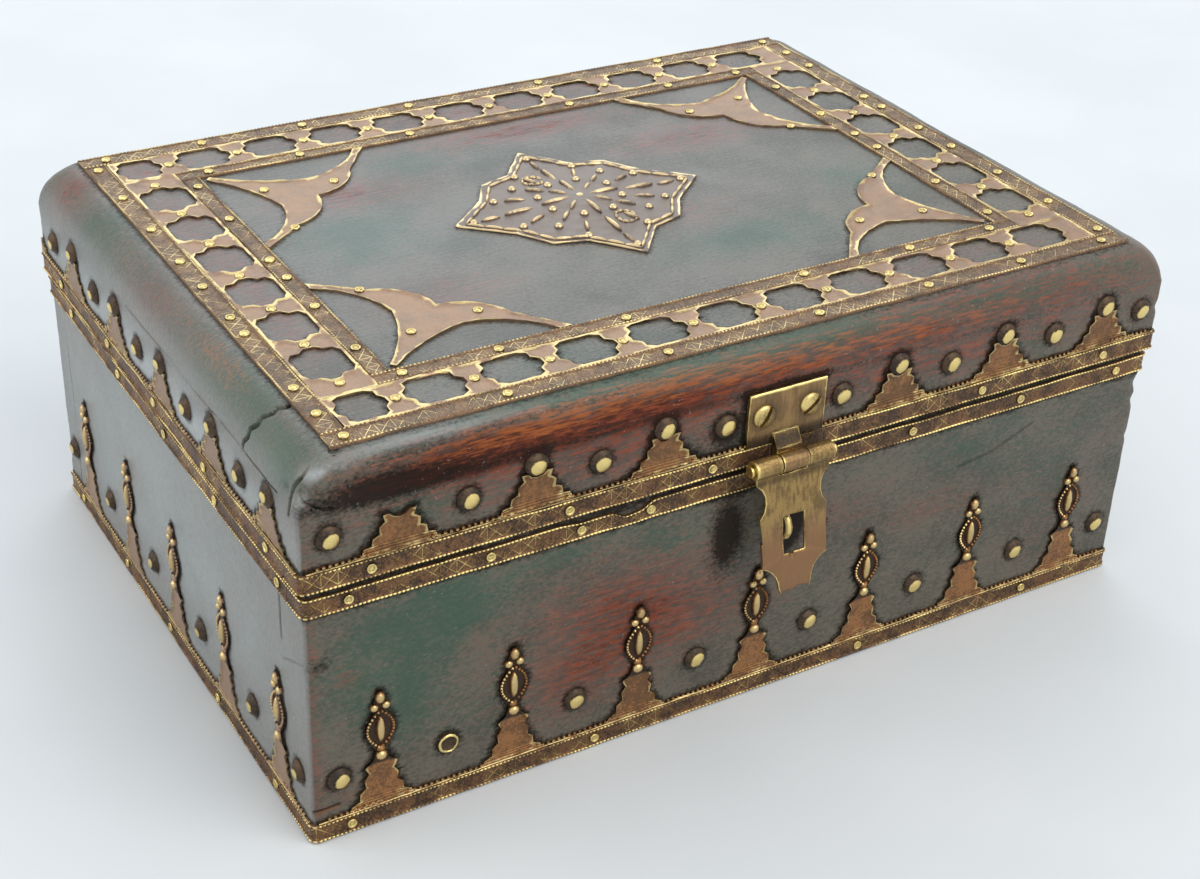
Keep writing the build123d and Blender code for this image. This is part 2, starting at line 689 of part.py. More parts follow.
def hinge_leaf(centre, upper):
    """One leaf of a let-in butt hinge: the case has the outer knuckles, the lid the middle one."""
    x, y, z = centre
    inner = HINGE_LEAF_SPLIT / 2
    z_range = (z + inner, z + inner + HINGE_LEAF) if upper else (z - inner - HINGE_LEAF, z - inner)
    half = HINGE_LENGTH / 2
    leaf = block((x - half, x + half), (y - HINGE_LEAF_DEPTH, y), z_range)
    left, middle, right = knuckle_ranges(HINGE_LENGTH, HINGE_MIDDLE_SHARE)
    own, other = ([middle], [left, right]) if upper else ([left, right], [middle])
    room = HINGE_BARREL_RADIUS + BARREL_CLEARANCE
    for low, high in other:
        leaf -= x_bore(room, high - low + 2 * KNUCKLE_GAP, (x + (low + high) / 2, y, z))
    leaf -= x_bore(HINGE_PIN_RADIUS + PIN_CLEARANCE, 2 * HINGE_LENGTH, centre)
    for stretch in own:
        leaf += knuckle(stretch, centre, HINGE_BARREL_RADIUS, HINGE_PIN_RADIUS + PIN_CLEARANCE)
    for screw in hinge_screws(centre, upper):
        leaf -= screw
    return leaf


def hinge_screws(centre, upper):
    """Two countersunk screw heads, flush with the leaf's showing face."""
    x, y, z = centre
    inner = HINGE_LEAF_SPLIT / 2
    heads = []
    for side in (-1, 1):
        place = (x + side * HINGE_SCREW_SPACING / 2, y - HINGE_SCREW_INSET)
        face = z + inner if upper else z - inner
        seat = Plane((place[0], place[1], face), x_dir=(1, 0, 0), z_dir=(0, 0, 1 if upper else -1))
        heads.append(tapered_head(seat, HINGE_SCREW_RADIUS, HINGE_SCREW_RADIUS / 2, HINGE_LEAF, SCREW_SIDES))
    return heads


def hinges():
    """Leaves, pins and screws of both hinges."""
    centres = hinge_centres()
    pins = [x_rod(HINGE_PIN_RADIUS, HINGE_LENGTH, centre) for centre in centres]
    case_screws = [screw for centre in centres for screw in hinge_screws(centre, False)]
    lid_screws = [screw for centre in centres for screw in hinge_screws(centre, True)]
    return {
        "hinge_case_leaf_left": hinge_leaf(centres[0], upper=False),
        "hinge_case_leaf_right": hinge_leaf(centres[1], upper=False),
        "hinge_lid_leaves": Compound(children=[hinge_leaf(centre, upper=True) for centre in centres]),
        "hinge_pins": Compound(children=pins),
        "hinge_case_screws": Compound(children=case_screws),
        "hinge_lid_screws": Compound(children=lid_screws),
    }


# Hasp
def hasp_plate_footprint():
    """Block over the plate's place on the lid, with a little room round it."""
    half = HASP_PLATE_WIDTH / 2 + STRIP_JOINT
    face = -LID_DEPTH / 2
    top = HASP_PLATE_BOTTOM + HASP_PLATE_HEIGHT + STRIP_JOINT
    return block((HASP_X - half, HASP_X + half), (face - HASP_PLATE, face + SHEET), (LID_BOTTOM, top))


def hasp_axis():
    """Middle of the hasp's barrel."""
    return (HASP_X, HASP_AXIS_Y, HASP_AXIS_Z)


def hasp_plate():
    """Screwed plate on the lid with the middle knuckle on its drawn-out tongue."""
    face = -LID_DEPTH / 2
    half = HASP_PLATE_WIDTH / 2
    bottom = HASP_PLATE_BOTTOM
    plate = block((HASP_X - half, HASP_X + half), (face - HASP_PLATE, face),
                  (bottom, bottom + HASP_PLATE_HEIGHT))
    low, high = knuckle_ranges(HASP_BARREL_LENGTH, HASP_MIDDLE_SHARE)[1]
    back = HASP_AXIS_Y + HASP_BARREL_RADIUS
    tongue = make_face(Polyline(
        (face - HASP_PLATE, bottom + HASP_TONGUE_RISE),
        (face, bottom + HASP_TONGUE_ROOT),
        (face - EDGE_BEAD_HEIGHT - SHEET - STRIP_JOINT, bottom),
        (back, HASP_AXIS_Z),
        (back - HASP_PLATE, HASP_AXIS_Z),
        (back - HASP_PLATE, bottom - HASP_TONGUE_DIP),
        close=True))
    side_on = Plane((HASP_X, 0, 0), x_dir=(0, 1, 0), z_dir=(1, 0, 0))
    plate += extrude(side_on.offset(low) * tongue, amount=high - low)
    bore = HASP_PIN_RADIUS + PIN_CLEARANCE
    plate -= x_bore(bore, HASP_BARREL_LENGTH, hasp_axis())
    plate += knuckle((low, high), hasp_axis(), HASP_BARREL_RADIUS, bore)
    return plate


def hasp_screws():
    """Two round-headed slotted screws in the plate."""
    face = -LID_DEPTH / 2 - HASP_PLATE
    z = HASP_PLATE_BOTTOM + HASP_PLATE_HEIGHT - HASP_SCREW_DROP
    heads = []
    for side, turn in ((-1, 45), (1, 62)):
        centre = Plane((HASP_X + side * HASP_SCREW_SPACING / 2, face, z), x_dir=(1, 0, 0), z_dir=(0, -1, 0))
        head = tapered_head(centre, SCREW_HEAD_RADIUS, SCREW_CROWN_RADIUS, SCREW_HEAD_HEIGHT, SCREW_SIDES)
        slot = Rot(0, 0, turn) * Rectangle(3 * SCREW_HEAD_RADIUS, SCREW_SLOT_WIDTH)
        head -= extrude(centre.offset(SCREW_HEAD_HEIGHT) * slot, amount=-SCREW_SLOT_DEPTH)
        heads.append(head)
    return Compound(children=heads)


def hasp_pin():
    """Pin through the hasp's three knuckles, with a small peened head at each end."""
    x, y, z = hasp_axis()
    reach = HASP_BARREL_LENGTH / 2 + KNUCKLE_GAP
    pin = x_rod(HASP_PIN_RADIUS, 2 * reach, hasp_axis())
    for side in (-1, 1):
        head_centre = (x + side * (reach + HASP_PIN_HEAD / 2), y, z)
        pin += x_rod(HASP_PIN_HEAD_RADIUS, HASP_PIN_HEAD, head_centre)
    return pin


def leaf_outline():
    """Front view of the leaf below its barrel: shoulder, notch, lobe, hollow and tip."""
    shoulder, lobe, tip = HASP_SHOULDER_HALF, HASP_LOBE_HALF, HASP_TIP_HALF
    length = HASP_LEAF_LENGTH
    waist, notch = (shoulder, -0.12 * length), (lobe, -0.385 * length)
    hip, knee = (lobe, -0.77 * length), (tip + 0.6, -0.96 * length)
    right = [(shoulder, 0)] + arc_steps(waist, (lobe - 2.0, -0.25 * length), notch, HASP_CURVE_FACETS)
    right += [notch] + arc_steps(hip, (tip + 1.9, -0.85 * length), knee, HASP_CURVE_FACETS)
    right += [knee, (tip, -length)]
    left = [(-x, y) for x, y in reversed(right)]
    return make_face(Polyline(*right, *left, close=True))


def hasp_leaf():
    """Hanging leaf with two outer knuckles and the slot for the staple, tilted as it rests."""
    front_on = Plane(hasp_axis(), x_dir=(1, 0, 0), z_dir=(0, -1, 0))
    outline = leaf_outline()
    slot = Pos(0, -HASP_SLOT_DROP) * Rectangle(HASP_SLOT_WIDTH, HASP_SLOT_HEIGHT)
    leaf = extrude(front_on.offset(-HASP_LEAF / 2) * (outline - slot), amount=HASP_LEAF)
    left, middle, right = knuckle_ranges(HASP_BARREL_LENGTH, HASP_MIDDLE_SHARE)
    room = HASP_BARREL_RADIUS + BARREL_CLEARANCE
    leaf -= x_bore(room, middle[1] - middle[0] + 2 * KNUCKLE_GAP, hasp_axis())
    bore = HASP_PIN_RADIUS + PIN_CLEARANCE
    leaf -= x_bore(bore, HASP_BARREL_LENGTH * 2, hasp_axis())
    for stretch in (left, right):
        leaf += knuckle(stretch, hasp_axis(), HASP_BARREL_RADIUS, bore)
    return leaf.rotate(Axis(hasp_axis(), (1, 0, 0)), -HASP_REST_TILT)


def staple():
    """Wire loop on the case front, level with the slot of the leaf when it is pressed home."""
    drop = HASP_SLOT_DROP * math.cos(math.radians(HASP_CLOSED_TILT))
    z = HASP_AXIS_Z - drop
    face = -CASE_DEPTH / 2
    bend = (STAPLE_HEIGHT - STAPLE_WIRE) / 2
    shank = STAPLE_REACH - STAPLE_WIRE / 2 - bend
    points = [(HASP_X, face, z + bend)]
    for step in range(STAPLE_BENDS + 1):
        angle = math.pi * (0.5 - step / STAPLE_BENDS)
        points.append((HASP_X, face - shank - bend * math.cos(angle), z + bend * math.sin(angle)))
    points.append((HASP_X, face, z - bend))
    start = Plane(points[0], x_dir=(1, 0, 0), z_dir=(0, -1, 0))
    section = start * RegularPolygon(STAPLE_WIRE / 2, STAPLE_SIDES)
    return sweep(section, path=Polyline(*points), transition=Transition.RIGHT)


def build_parts():
    """Every sub-part by the name a person would use."""
    hinge_room = barrel_grooves()
    parts = case_boards()
    parts.update(lid_timber())
    parts.update(strip_course("foot_strip", CASE_WIDTH, CASE_DEPTH, (FOOT_STRIP_LIFT, FOOT_STRIP_TOP)))
    parts.update(strip_course("rim_strip", CASE_WIDTH, CASE_DEPTH, (RIM_STRIP_BOTTOM, RIM_STRIP_TOP),
                              hinge_room))
    parts.update(strip_course("lid_edge_strip", LID_WIDTH, LID_DEPTH, (LID_STRIP_BOTTOM, LID_STRIP_TOP),
                              hinge_room))
    parts.update(crests())
    parts["lid_domed_nails"] = lid_nails()
    parts["case_domed_nails"] = case_nails()
    parts.update(top_strip_frame("outer_strip", OUTER_STRIP_HALF_X, OUTER_STRIP_HALF_Y, OUTER_STRIP_WIDTH))
    parts.update(top_strip_frame("inner_strip", INNER_STRIP_HALF_X, INNER_STRIP_HALF_Y, INNER_STRIP_WIDTH))
    parts.update(pierced_border())
    parts.update(spandrels())
    parts["medallion"] = medallion()
    parts.update(hinges())
    parts["hasp_plate"] = hasp_plate()
    parts["hasp_screws"] = hasp_screws()
    parts["hasp_pin"] = hasp_pin()
    parts["hasp_leaf"] = hasp_leaf()
    parts["staple"] = staple()
    return parts


def main():
    """Writes one STEP file per sub-part."""
    os.makedirs("parts", exist_ok=True)
    for name, shape in build_parts().items():
        export_step(shape, "parts/" + name + ".step")


main()
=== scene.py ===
"""Dresses a low painted storage box: worn timber, embossed brass strips, crests, nails and a hasp."""
import logging
import math
from dataclasses import dataclass, field, replace
from enum import Enum
from typing import Callable, Iterable, Sequence

import bmesh
import bpy
import numpy as np
from mathutils import Matrix, Vector, noise
from mathutils.bvhtree import BVHTree
from mathutils.kdtree import KDTree


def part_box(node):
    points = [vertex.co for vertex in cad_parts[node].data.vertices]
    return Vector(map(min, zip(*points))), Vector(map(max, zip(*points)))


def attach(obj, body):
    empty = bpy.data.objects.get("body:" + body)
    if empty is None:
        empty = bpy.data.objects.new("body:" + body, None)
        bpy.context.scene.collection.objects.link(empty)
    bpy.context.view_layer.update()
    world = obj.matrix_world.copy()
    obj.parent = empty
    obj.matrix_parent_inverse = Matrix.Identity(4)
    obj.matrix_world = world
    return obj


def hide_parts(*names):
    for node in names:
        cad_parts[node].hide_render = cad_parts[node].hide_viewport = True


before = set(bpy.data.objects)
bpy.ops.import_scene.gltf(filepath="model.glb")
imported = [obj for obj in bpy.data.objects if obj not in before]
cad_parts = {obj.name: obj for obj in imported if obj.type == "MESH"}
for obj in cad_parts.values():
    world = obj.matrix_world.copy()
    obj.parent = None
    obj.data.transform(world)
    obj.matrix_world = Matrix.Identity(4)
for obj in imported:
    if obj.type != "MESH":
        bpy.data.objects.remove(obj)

LOG = logging.getLogger("storage_box")

CASE_HALF_X = 140.0
CASE_HALF_Y = 99.0
LID_HALF_X = 141.0
LID_HALF_Y = 100.0
BASE_TOP = 10.5
RIM = 80.4
LID_BOTTOM = 81.0
SHOULDER = 104.6
LID_TOP = 117.6
CORNER_RADIUS = 1.6
# How far loose brass pieces reach into the wood below them.
SINK = 0.35
CORNERS = ("front_left", "front_right", "back_right", "back_left")


class Body(Enum):
    """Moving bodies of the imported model."""

    CASE = "case"
    LID = "lid"
    HASP = "hasp"


class Slot(Enum):
    """Finishes that the record names."""

    PAINT = "painted_wood"
    STRIP = "strip_brass"
    CREST = "crest_brass"
    NAIL = "nail_brass"
    HASP = "hasp_brass"
    SCREW = "screw_brass"


class Side(Enum):
    """Outer walls, seen from the hasp's side."""

    FRONT = "front"
    BACK = "back"
    LEFT = "left"
    RIGHT = "right"


class Shade(Enum):
    """Paint coats that show through on the worn timber, with grime, painted shade and painted sheen laid
    over them.
    """

    GREEN = "green"
    RED = "red"
    OCHRE = "ochre"
    GRIME = "grime"
    # Pale dust, and painted sheen and highlights.
    HAZE = "haze"
    BARE = "bare"


class Relief(Enum):
    """Patterns pressed into the field of a brass sheet."""

    PLAIN = "plain"
    RULED = "ruled"
    CROSSED = "crossed"


def shade(red: int, green: int, blue: int) -> tuple[float, float, float, float]:
    """Turns a colour as the eye names it into the linear one that shaders take.

    Args:
        red: red level, 0 to 255.
        green: green level, 0 to 255.
        blue: blue level, 0 to 255.

    Returns:
        The linear colour with full opacity.
    """
    linear = []
    for level in (red, green, blue):
        part = level / 255
        linear.append(part / 12.92 if part <= 0.04045 else ((part + 0.055) / 1.055) ** 2.4)
    return (linear[0], linear[1], linear[2], 1.0)


def ramp(value: float, low: float, high: float) -> float:
    """Rises smoothly from 0 at low to 1 at high."""
    share = max(0.0, min(1.0, (value - low) / (high - low)))
    return share * share * (3 - 2 * share)


def drift(point: Vector, size: float, seed: float = 0.0) -> float:
    """Smooth noise between about -1 and 1 whose lumps are about size wide."""
    return noise.noise(Vector((point.x / size + seed, point.y / size - seed, point.z / size + 2 * seed)))


def bell(gap: float, reach: float) -> float:
    """Falls smoothly from 1 at no gap towards 0 beyond the reach."""
    return math.exp(-(gap / reach) ** 2)


def tree_of(points: Sequence[Vector]) -> KDTree:
    """Search tree that finds the nearest of some points.

    Args:
        points: the points.

    Returns:
        The balanced tree.
    """
    tree = KDTree(len(points))
    for index, point in enumerate(points):
        tree.insert(point, index)
    tree.balance()
    return tree


@dataclass(frozen=True)
class Wall:
    """One outer wall, measured along it to the right seen from outside, up it, and out of it."""

    side: Side
    half_x: float
    half_y: float

    @property
    def half_length(self) -> float:
        """Half the wall's length."""
        return self.half_x if self.side in (Side.FRONT, Side.BACK) else self.half_y

    def at(self, along: float, rise: float, proud: float) -> Vector:
        """Point in space for a place on the wall.

        Args:
            along: distance from the wall's middle, to the right seen from outside.
            rise: height above the floor.
            proud: distance out of the wall's face.

        Returns:
            The point in millimetres.
        """
        if self.side is Side.FRONT:
            return Vector((along, -self.half_y - proud, rise))
        if self.side is Side.BACK:
            return Vector((-along, self.half_y + proud, rise))
        if self.side is Side.LEFT:
            return Vector((-self.half_x - proud, -along, rise))
        return Vector((self.half_x + proud, along, rise))

    def placing(self, along: float, rise: float, proud: float = 0.0, turn: float = 0.0) -> Matrix:
        """Matrix that sets a shape down on the wall, its Z pointing outwards and its Y up.

        Args:
            along: distance from the wall's middle.
            rise: height above the floor.
            proud: distance out of the wall's face.
            turn: turn about the outward direction.

        Returns:
            The matrix.
        """
        origin = self.at(along, rise, proud)
        right = self.at(along + 1, rise, proud) - origin
        outward = self.at(along, rise, proud + 1) - origin
        basis = Matrix((right, Vector((0, 0, 1)), outward)).transposed().to_4x4()
        return Matrix.Translation(origin) @ basis @ Matrix.Rotation(turn, 4, "Z")


def top_placing(x: float, y: float, proud: float = 0.0, turn: float = 0.0) -> Matrix:
    """Matrix that sets a shape down on the lid's top."""
    return Matrix.Translation((x, y, LID_TOP + proud)) @ Matrix.Rotation(turn, 4, "Z")


class Workpiece:
    """A mesh on the bench, in millimetres, with float values on its vertices."""

    def __init__(self, values: Sequence[str] = ("worn",)) -> None:
        """Starts an empty mesh.

        Args:
            values: names of the float values that its vertices carry.
        """
        self.mesh = bmesh.new()
        self.layers = {name: self.mesh.verts.layers.float.new(name) for name in values}

    @classmethod
    def copy_of(cls, node: str, values: Sequence[str] = ("worn",)) -> "Workpiece":
        """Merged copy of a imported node, with its flat faces joined up.

        Args:
            node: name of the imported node.
            values: names of the float values that its vertices carry.

        Returns:
            The copy, in millimetres.
        """
        piece = cls(values)
        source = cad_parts[node]
        piece.mesh.from_mesh(source.data)
        bmesh.ops.transform(piece.mesh, matrix=Matrix.Scale(1000, 4) @ source.matrix_world,
                            verts=piece.mesh.verts)
        bmesh.ops.remove_doubles(piece.mesh, verts=piece.mesh.verts, dist=0.005)
        bmesh.ops.dissolve_limit(piece.mesh, angle_limit=math.radians(1.0), verts=piece.mesh.verts,
                                 edges=piece.mesh.edges)
        bmesh.ops.recalc_face_normals(piece.mesh, faces=piece.mesh.faces)
        return piece

    def set_value(self, name: str, rule: Callable[[Vector], float]) -> None:
        """Works out one float value for every vertex from its place.

        Args:
            name: name of the value.
            rule: gives the value for a place.
        """
        layer = self.layers[name]
        for vert in self.mesh.verts:
            vert[layer] = rule(vert.co)

    def settle(self) -> None:
        """Packs the mesh's vertices tightly, so that what is set down later comes last."""
        data = bpy.data.meshes.new("bench_copy")
        self.mesh.to_mesh(data)
        self.mesh.free()
        self.mesh = bmesh.new()
        self.mesh.from_mesh(data)
        bpy.data.meshes.remove(data)
        self.layers = {name: self.mesh.verts.layers.float[name] for name in self.layers}

    def stamp(self, pattern: "Pattern", place: Matrix) -> None:
        """Sets a pattern down at a place, with its worn values.

        Args:
            pattern: the small shape.
            place: matrix that places it.
        """
        start = len(self.mesh.verts)
        self.mesh.from_mesh(pattern.mesh)
        self.mesh.verts.ensure_lookup_table()
        added = self.mesh.verts[start:]
        bmesh.ops.transform(self.mesh, matrix=place, verts=added)
        for vert, worn in zip(added, pattern.worn):
            vert[self.layers["worn"]] = worn

    def sharp_points(self, spacing: float, least_angle: float = 1.0) -> list[Vector]:
        """Points along every sharp edge, a spacing apart.

        Args:
            spacing: distance between neighbours.
            least_angle: angle past which an edge is sharp.

        Returns:
            The points.
        """
        points = []
        for edge in self.mesh.edges:
            if edge.is_manifold and edge.calc_face_angle() < least_angle:
                continue
            first, second = (vert.co.copy() for vert in edge.verts)
            count = max(1, round((second - first).length / spacing))
            points += [first.lerp(second, step / count) for step in range(count + 1)]
        return points

    def refine(self, chosen: Callable[[bmesh.types.BMFace], bool], longest: float) -> None:
        """Splits some faces into even triangles, so that they can be beaten and coloured.

        Args:
            chosen: tells whether a face is one of them.
            longest: length in millimetres past which an edge is split.
        """
        for _ in range(8):
            bmesh.ops.triangulate(self.mesh, faces=[face for face in self.mesh.faces if chosen(face)])
            faces = [face for face in self.mesh.faces if chosen(face)]
            known = set(faces)
            inner = [edge for edge in self.mesh.edges
                     if edge.link_faces and all(face in known for face in edge.link_faces)]
            bmesh.ops.beautify_fill(self.mesh, faces=faces, edges=inner)
            known = {face for face in self.mesh.faces if chosen(face)}
            too_long = [edge for edge in self.mesh.edges if edge.calc_length() > longest
                        and any(face in known for face in edge.link_faces)]
            if not too_long:
                break
            bmesh.ops.subdivide_edges(self.mesh, edges=too_long, cuts=1)

    def hammer(self, amount: float, size: float, seed: float) -> None:
        """Moves every vertex a little, as hand work does.

        Args:
            amount: furthest move.
            size: breadth of a dent.
            seed: which of the many unevennesses it is.
        """
        for vert in self.mesh.verts:
            spot = vert.co / size + Vector((seed, seed, seed))
            push = [noise.noise(spot + Vector((37.0 * axis, 0, 0))) for axis in range(3)]
            vert.co += amount * Vector(push)

    def finish(self, name: str, body: Body, slot: Slot, dress: bpy.types.Material,
               stands_for: Sequence[str] = (), smooth: float = 40.0) -> bpy.types.Object:
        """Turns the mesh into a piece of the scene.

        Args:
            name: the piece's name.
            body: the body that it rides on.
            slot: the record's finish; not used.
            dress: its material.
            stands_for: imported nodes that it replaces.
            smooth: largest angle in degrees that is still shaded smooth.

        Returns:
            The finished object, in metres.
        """
        bmesh.ops.scale(self.mesh, vec=(0.001, 0.001, 0.001), verts=self.mesh.verts)
        data = bpy.data.meshes.new(name)
        self.mesh.to_mesh(data)
        self.mesh.free()
        piece = bpy.data.objects.new(name, data)
        bpy.context.scene.collection.objects.link(piece)
        data.materials.append(dress)
        data.shade_smooth()
        data.set_sharp_from_angle(angle=math.radians(smooth))
        if stands_for:
            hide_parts(*stands_for)
        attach(piece, body.value)
        LOG.info("%s: %d faces on %s", name, len(data.polygons), body.value)
        return piece


def turned(profile: Sequence[tuple[float, float]], steps: int) -> bmesh.types.BMesh:
    """Turns a profile about the upright.

    Args:
        profile: radius and height, point by point.
        steps: facets round it.

    Returns:
        The turned shape.
    """
    shape = bmesh.new()
    verts = [shape.verts.new((radius, 0, height)) for radius, height in profile]
    edges = [shape.edges.new(pair) for pair in zip(verts, verts[1:])]
    bmesh.ops.spin(shape, geom=verts + edges, cent=(0, 0, 0), axis=(0, 0, 1), angle=2 * math.pi,
                   steps=steps, use_merge=True)
    bmesh.ops.remove_doubles(shape, verts=shape.verts, dist=0.001)
    return shape


class Pattern:
    """A small shape made once and set down many times."""

    def __init__(self, shape: bmesh.types.BMesh, worn: Callable[[Vector], float]) -> None:
        """Keeps the shape's mesh and how worn each vertex is.

        Args:
            shape: the shape in millimetres, standing on its own XY plane.
            worn: rule for how worn a point of it is.
        """
        bmesh.ops.recalc_face_normals(shape, faces=shape.faces)
        self.worn = [worn(vert.co) for vert in shape.verts]
        self.mesh = bpy.data.meshes.new("pattern")
        shape.to_mesh(self.mesh)
        shape.free()

    @classmethod
    def spun(cls, profile: Sequence[tuple[float, float]], steps: int,
             worn: Callable[[Vector], float]) -> "Pattern":
        """Turned shape from a profile of radius and height.

        Args:
            profile: its radius and height, point by point.
            steps: facets round it.
            worn: rule for how worn a point of it is.

        Returns:
            The pattern.
        """
        return cls(turned(profile, steps), worn)

    @classmethod
    def pellet(cls, half_length: float, half_width: float, height: float, fine: int = 2,
               worn: float = 1.0) -> "Pattern":
        """Low rounded pellet, long along its X.

        Args:
            half_length: half size along X.
            half_width: half size along Y.
            height: half size along Z.
            fine: how finely it is divided.
            worn: how worn its crown is.

        Returns:
            The pattern.
        """
        shape = bmesh.new()
        bmesh.ops.create_icosphere(shape, subdivisions=fine, radius=1.0)
        bmesh.ops.scale(shape, vec=(half_length, half_width, height), verts=shape.verts)
        return cls(shape, lambda point: worn * ramp(point.z, -0.1 * height, 0.8 * height))


class Reading:
    """A value that the shader works out at every point, written with plain arithmetic."""

    def __init__(self, tree: bpy.types.NodeTree, socket: bpy.types.NodeSocket) -> None:
        """Keeps the node tree and the socket that gives the value."""
        self.tree = tree
        self.socket = socket

    def reckon(self, operation: str, other: "Reading | float" = 0.0, turned: bool = False) -> "Reading":
        """One arithmetic step.

        Args:
            operation: Blender's name of the step.
            other: the second value.
            turned: puts the second value first.

        Returns:
            The result.
        """
        node = self.tree.nodes.new("ShaderNodeMath")
        node.operation = operation
        pair = (other, self) if turned else (self, other)
        for source, target in zip(pair, node.inputs):
            wire(source, target, self.tree)
        return Reading(self.tree, node.outputs[0])

    def __add__(self, other: "Reading | float") -> "Reading":
        """Adds another value."""
        return self.reckon("ADD", other)

    def __sub__(self, other: "Reading | float") -> "Reading":
        """Takes another value away."""
        return self.reckon("SUBTRACT", other)

    def __rsub__(self, other: float) -> "Reading":
        """Takes this value away from a number."""
        return self.reckon("SUBTRACT", other, turned=True)

    def __mul__(self, other: "Reading | float") -> "Reading":
        """Multiplies by another value."""
        return self.reckon("MULTIPLY", other)

    def __abs__(self) -> "Reading":
        """Drops the sign."""
        return self.reckon("ABSOLUTE")

    def most(self, other: "Reading") -> "Reading":
        """The greater of two values."""
        return self.reckon("MAXIMUM", other)

    def least(self, other: "Reading") -> "Reading":
        """The lesser of two values."""
        return self.reckon("MINIMUM", other)

    def fit(self, low: float, high: float, to_low: float = 0.0, to_high: float = 1.0) -> "Reading":
        """Smooth step between two bounds.

        Args:
            low: value at and below which the result is to_low.
            high: value at and above which the result is to_high.
            to_low: lowest result.
            to_high: highest result.

        Returns:
            The stepped value.
        """
        node = self.tree.nodes.new("ShaderNodeMapRange")
        node.interpolation_type = "SMOOTHSTEP"
        for label, source in (("Value", self), ("From Min", low), ("From Max", high), ("To Min", to_low),
                              ("To Max", to_high)):
            wire(source, node.inputs[label], self.tree)
        return Reading(self.tree, node.outputs["Result"])


def wire(source: object, target: bpy.types.NodeSocket, tree: bpy.types.NodeTree) -> None:
    """Links a reading to a socket, or sets a plain value.

    Args:
        source: the reading, number or colour.
        target: the socket that takes it.
        tree: the node tree of both.
    """
    if isinstance(source, Reading):
        tree.links.new(source.socket, target)
    else:
        target.default_value = source


class Bench:
    """Shader nodes of one material, wired up by short calls."""

    def __init__(self, name: str) -> None:
        """Starts a material with a Principled shader and millimetre coordinates.

        Args:
            name: name of the material.
        """
        self.material = bpy.data.materials.new(name)
        self.material.use_nodes = True
        self.tree = self.material.node_tree
        self.shader = self.tree.nodes["Principled BSDF"]
        coords = self.tree.nodes.new("ShaderNodeTexCoord")
        self.place = self.scaled(Reading(self.tree, coords.outputs["Object"]), (1000.0, 1000.0, 1000.0))

    def scaled(self, vector: Reading, size: Sequence[float]) -> Reading:
        """Stretches a coordinate.

        Args:
            vector: the coordinate.
            size: factors along its three axes.

        Returns:
            The stretched coordinate.
        """
        node = self.tree.nodes.new("ShaderNodeMapping")
        node.inputs["Scale"].default_value = size
        wire(vector, node.inputs["Vector"], self.tree)
        return Reading(self.tree, node.outputs["Vector"])

    def value(self, name: str) -> Reading:
        """Float value that the mesh carries.

        Args:
            name: the value's name on the mesh.

        Returns:
            The value.
        """
        node = self.tree.nodes.new("ShaderNodeAttribute")
        node.attribute_name = name
        return Reading(self.tree, node.outputs["Fac"])

    def cloud(self, size: float, detail: float = 3.0, stretch: Sequence[float] = (1, 1, 1),
              rough: float = 0.55) -> Reading:
        """Noise between 0 and 1.

        Args:
            size: width of its lumps in millimetres.
            detail: how many finer layers it has.
            stretch: how much longer the lumps are along each axis.
            rough: weight of the finer layers.

        Returns:
            The noise.
        """
        node = self.tree.nodes.new("ShaderNodeTexNoise")
        scale = [1 / (size * part) for part in stretch]
        wire(self.scaled(self.place, scale), node.inputs["Vector"], self.tree)
        node.inputs["Scale"].default_value = 1.0
        node.inputs["Detail"].default_value = detail
        node.inputs["Roughness"].default_value = rough
        return Reading(self.tree, node.outputs["Fac"])

    def blend(self, factor: Reading, first: object, second: object) -> Reading:
        """Mixes two colours.

        Args:
            factor: share of the second colour.
            first: colour, or reading of one.
            second: colour, or reading of one.

        Returns:
            The mixed colour.
        """
        node = self.tree.nodes.new("ShaderNodeMix")
        node.data_type = "RGBA"
        for source, index in ((factor, 0), (first, 6), (second, 7)):
            wire(source, node.inputs[index], self.tree)
        return Reading(self.tree, node.outputs[2])

    def bump(self, height: Reading, depth: float, before: Reading | None = None) -> Reading:
        """Turns a height between 0 and 1 into a normal.

        Args:
            height: the height.
            depth: what a height of 1 is in millimetres.
            before: normal that it is laid over.

        Returns:
            The normal.
        """
        node = self.tree.nodes.new("ShaderNodeBump")
        node.inputs["Distance"].default_value = depth / 1000
        wire(height, node.inputs["Height"], self.tree)
        if before is not None:
            wire(before, node.inputs["Normal"], self.tree)
        return Reading(self.tree, node.outputs["Normal"])

    def dress(self, **sockets: object) -> bpy.types.Material:
        """Sets the shader's sockets.

        Args:
            sockets: readings, numbers or colours by socket name, with underscores for spaces.

        Returns:
            The finished material.
        """
        for label, source in sockets.items():
            wire(source, self.shader.inputs[label.replace("_", " ")], self.tree)
        return self.material


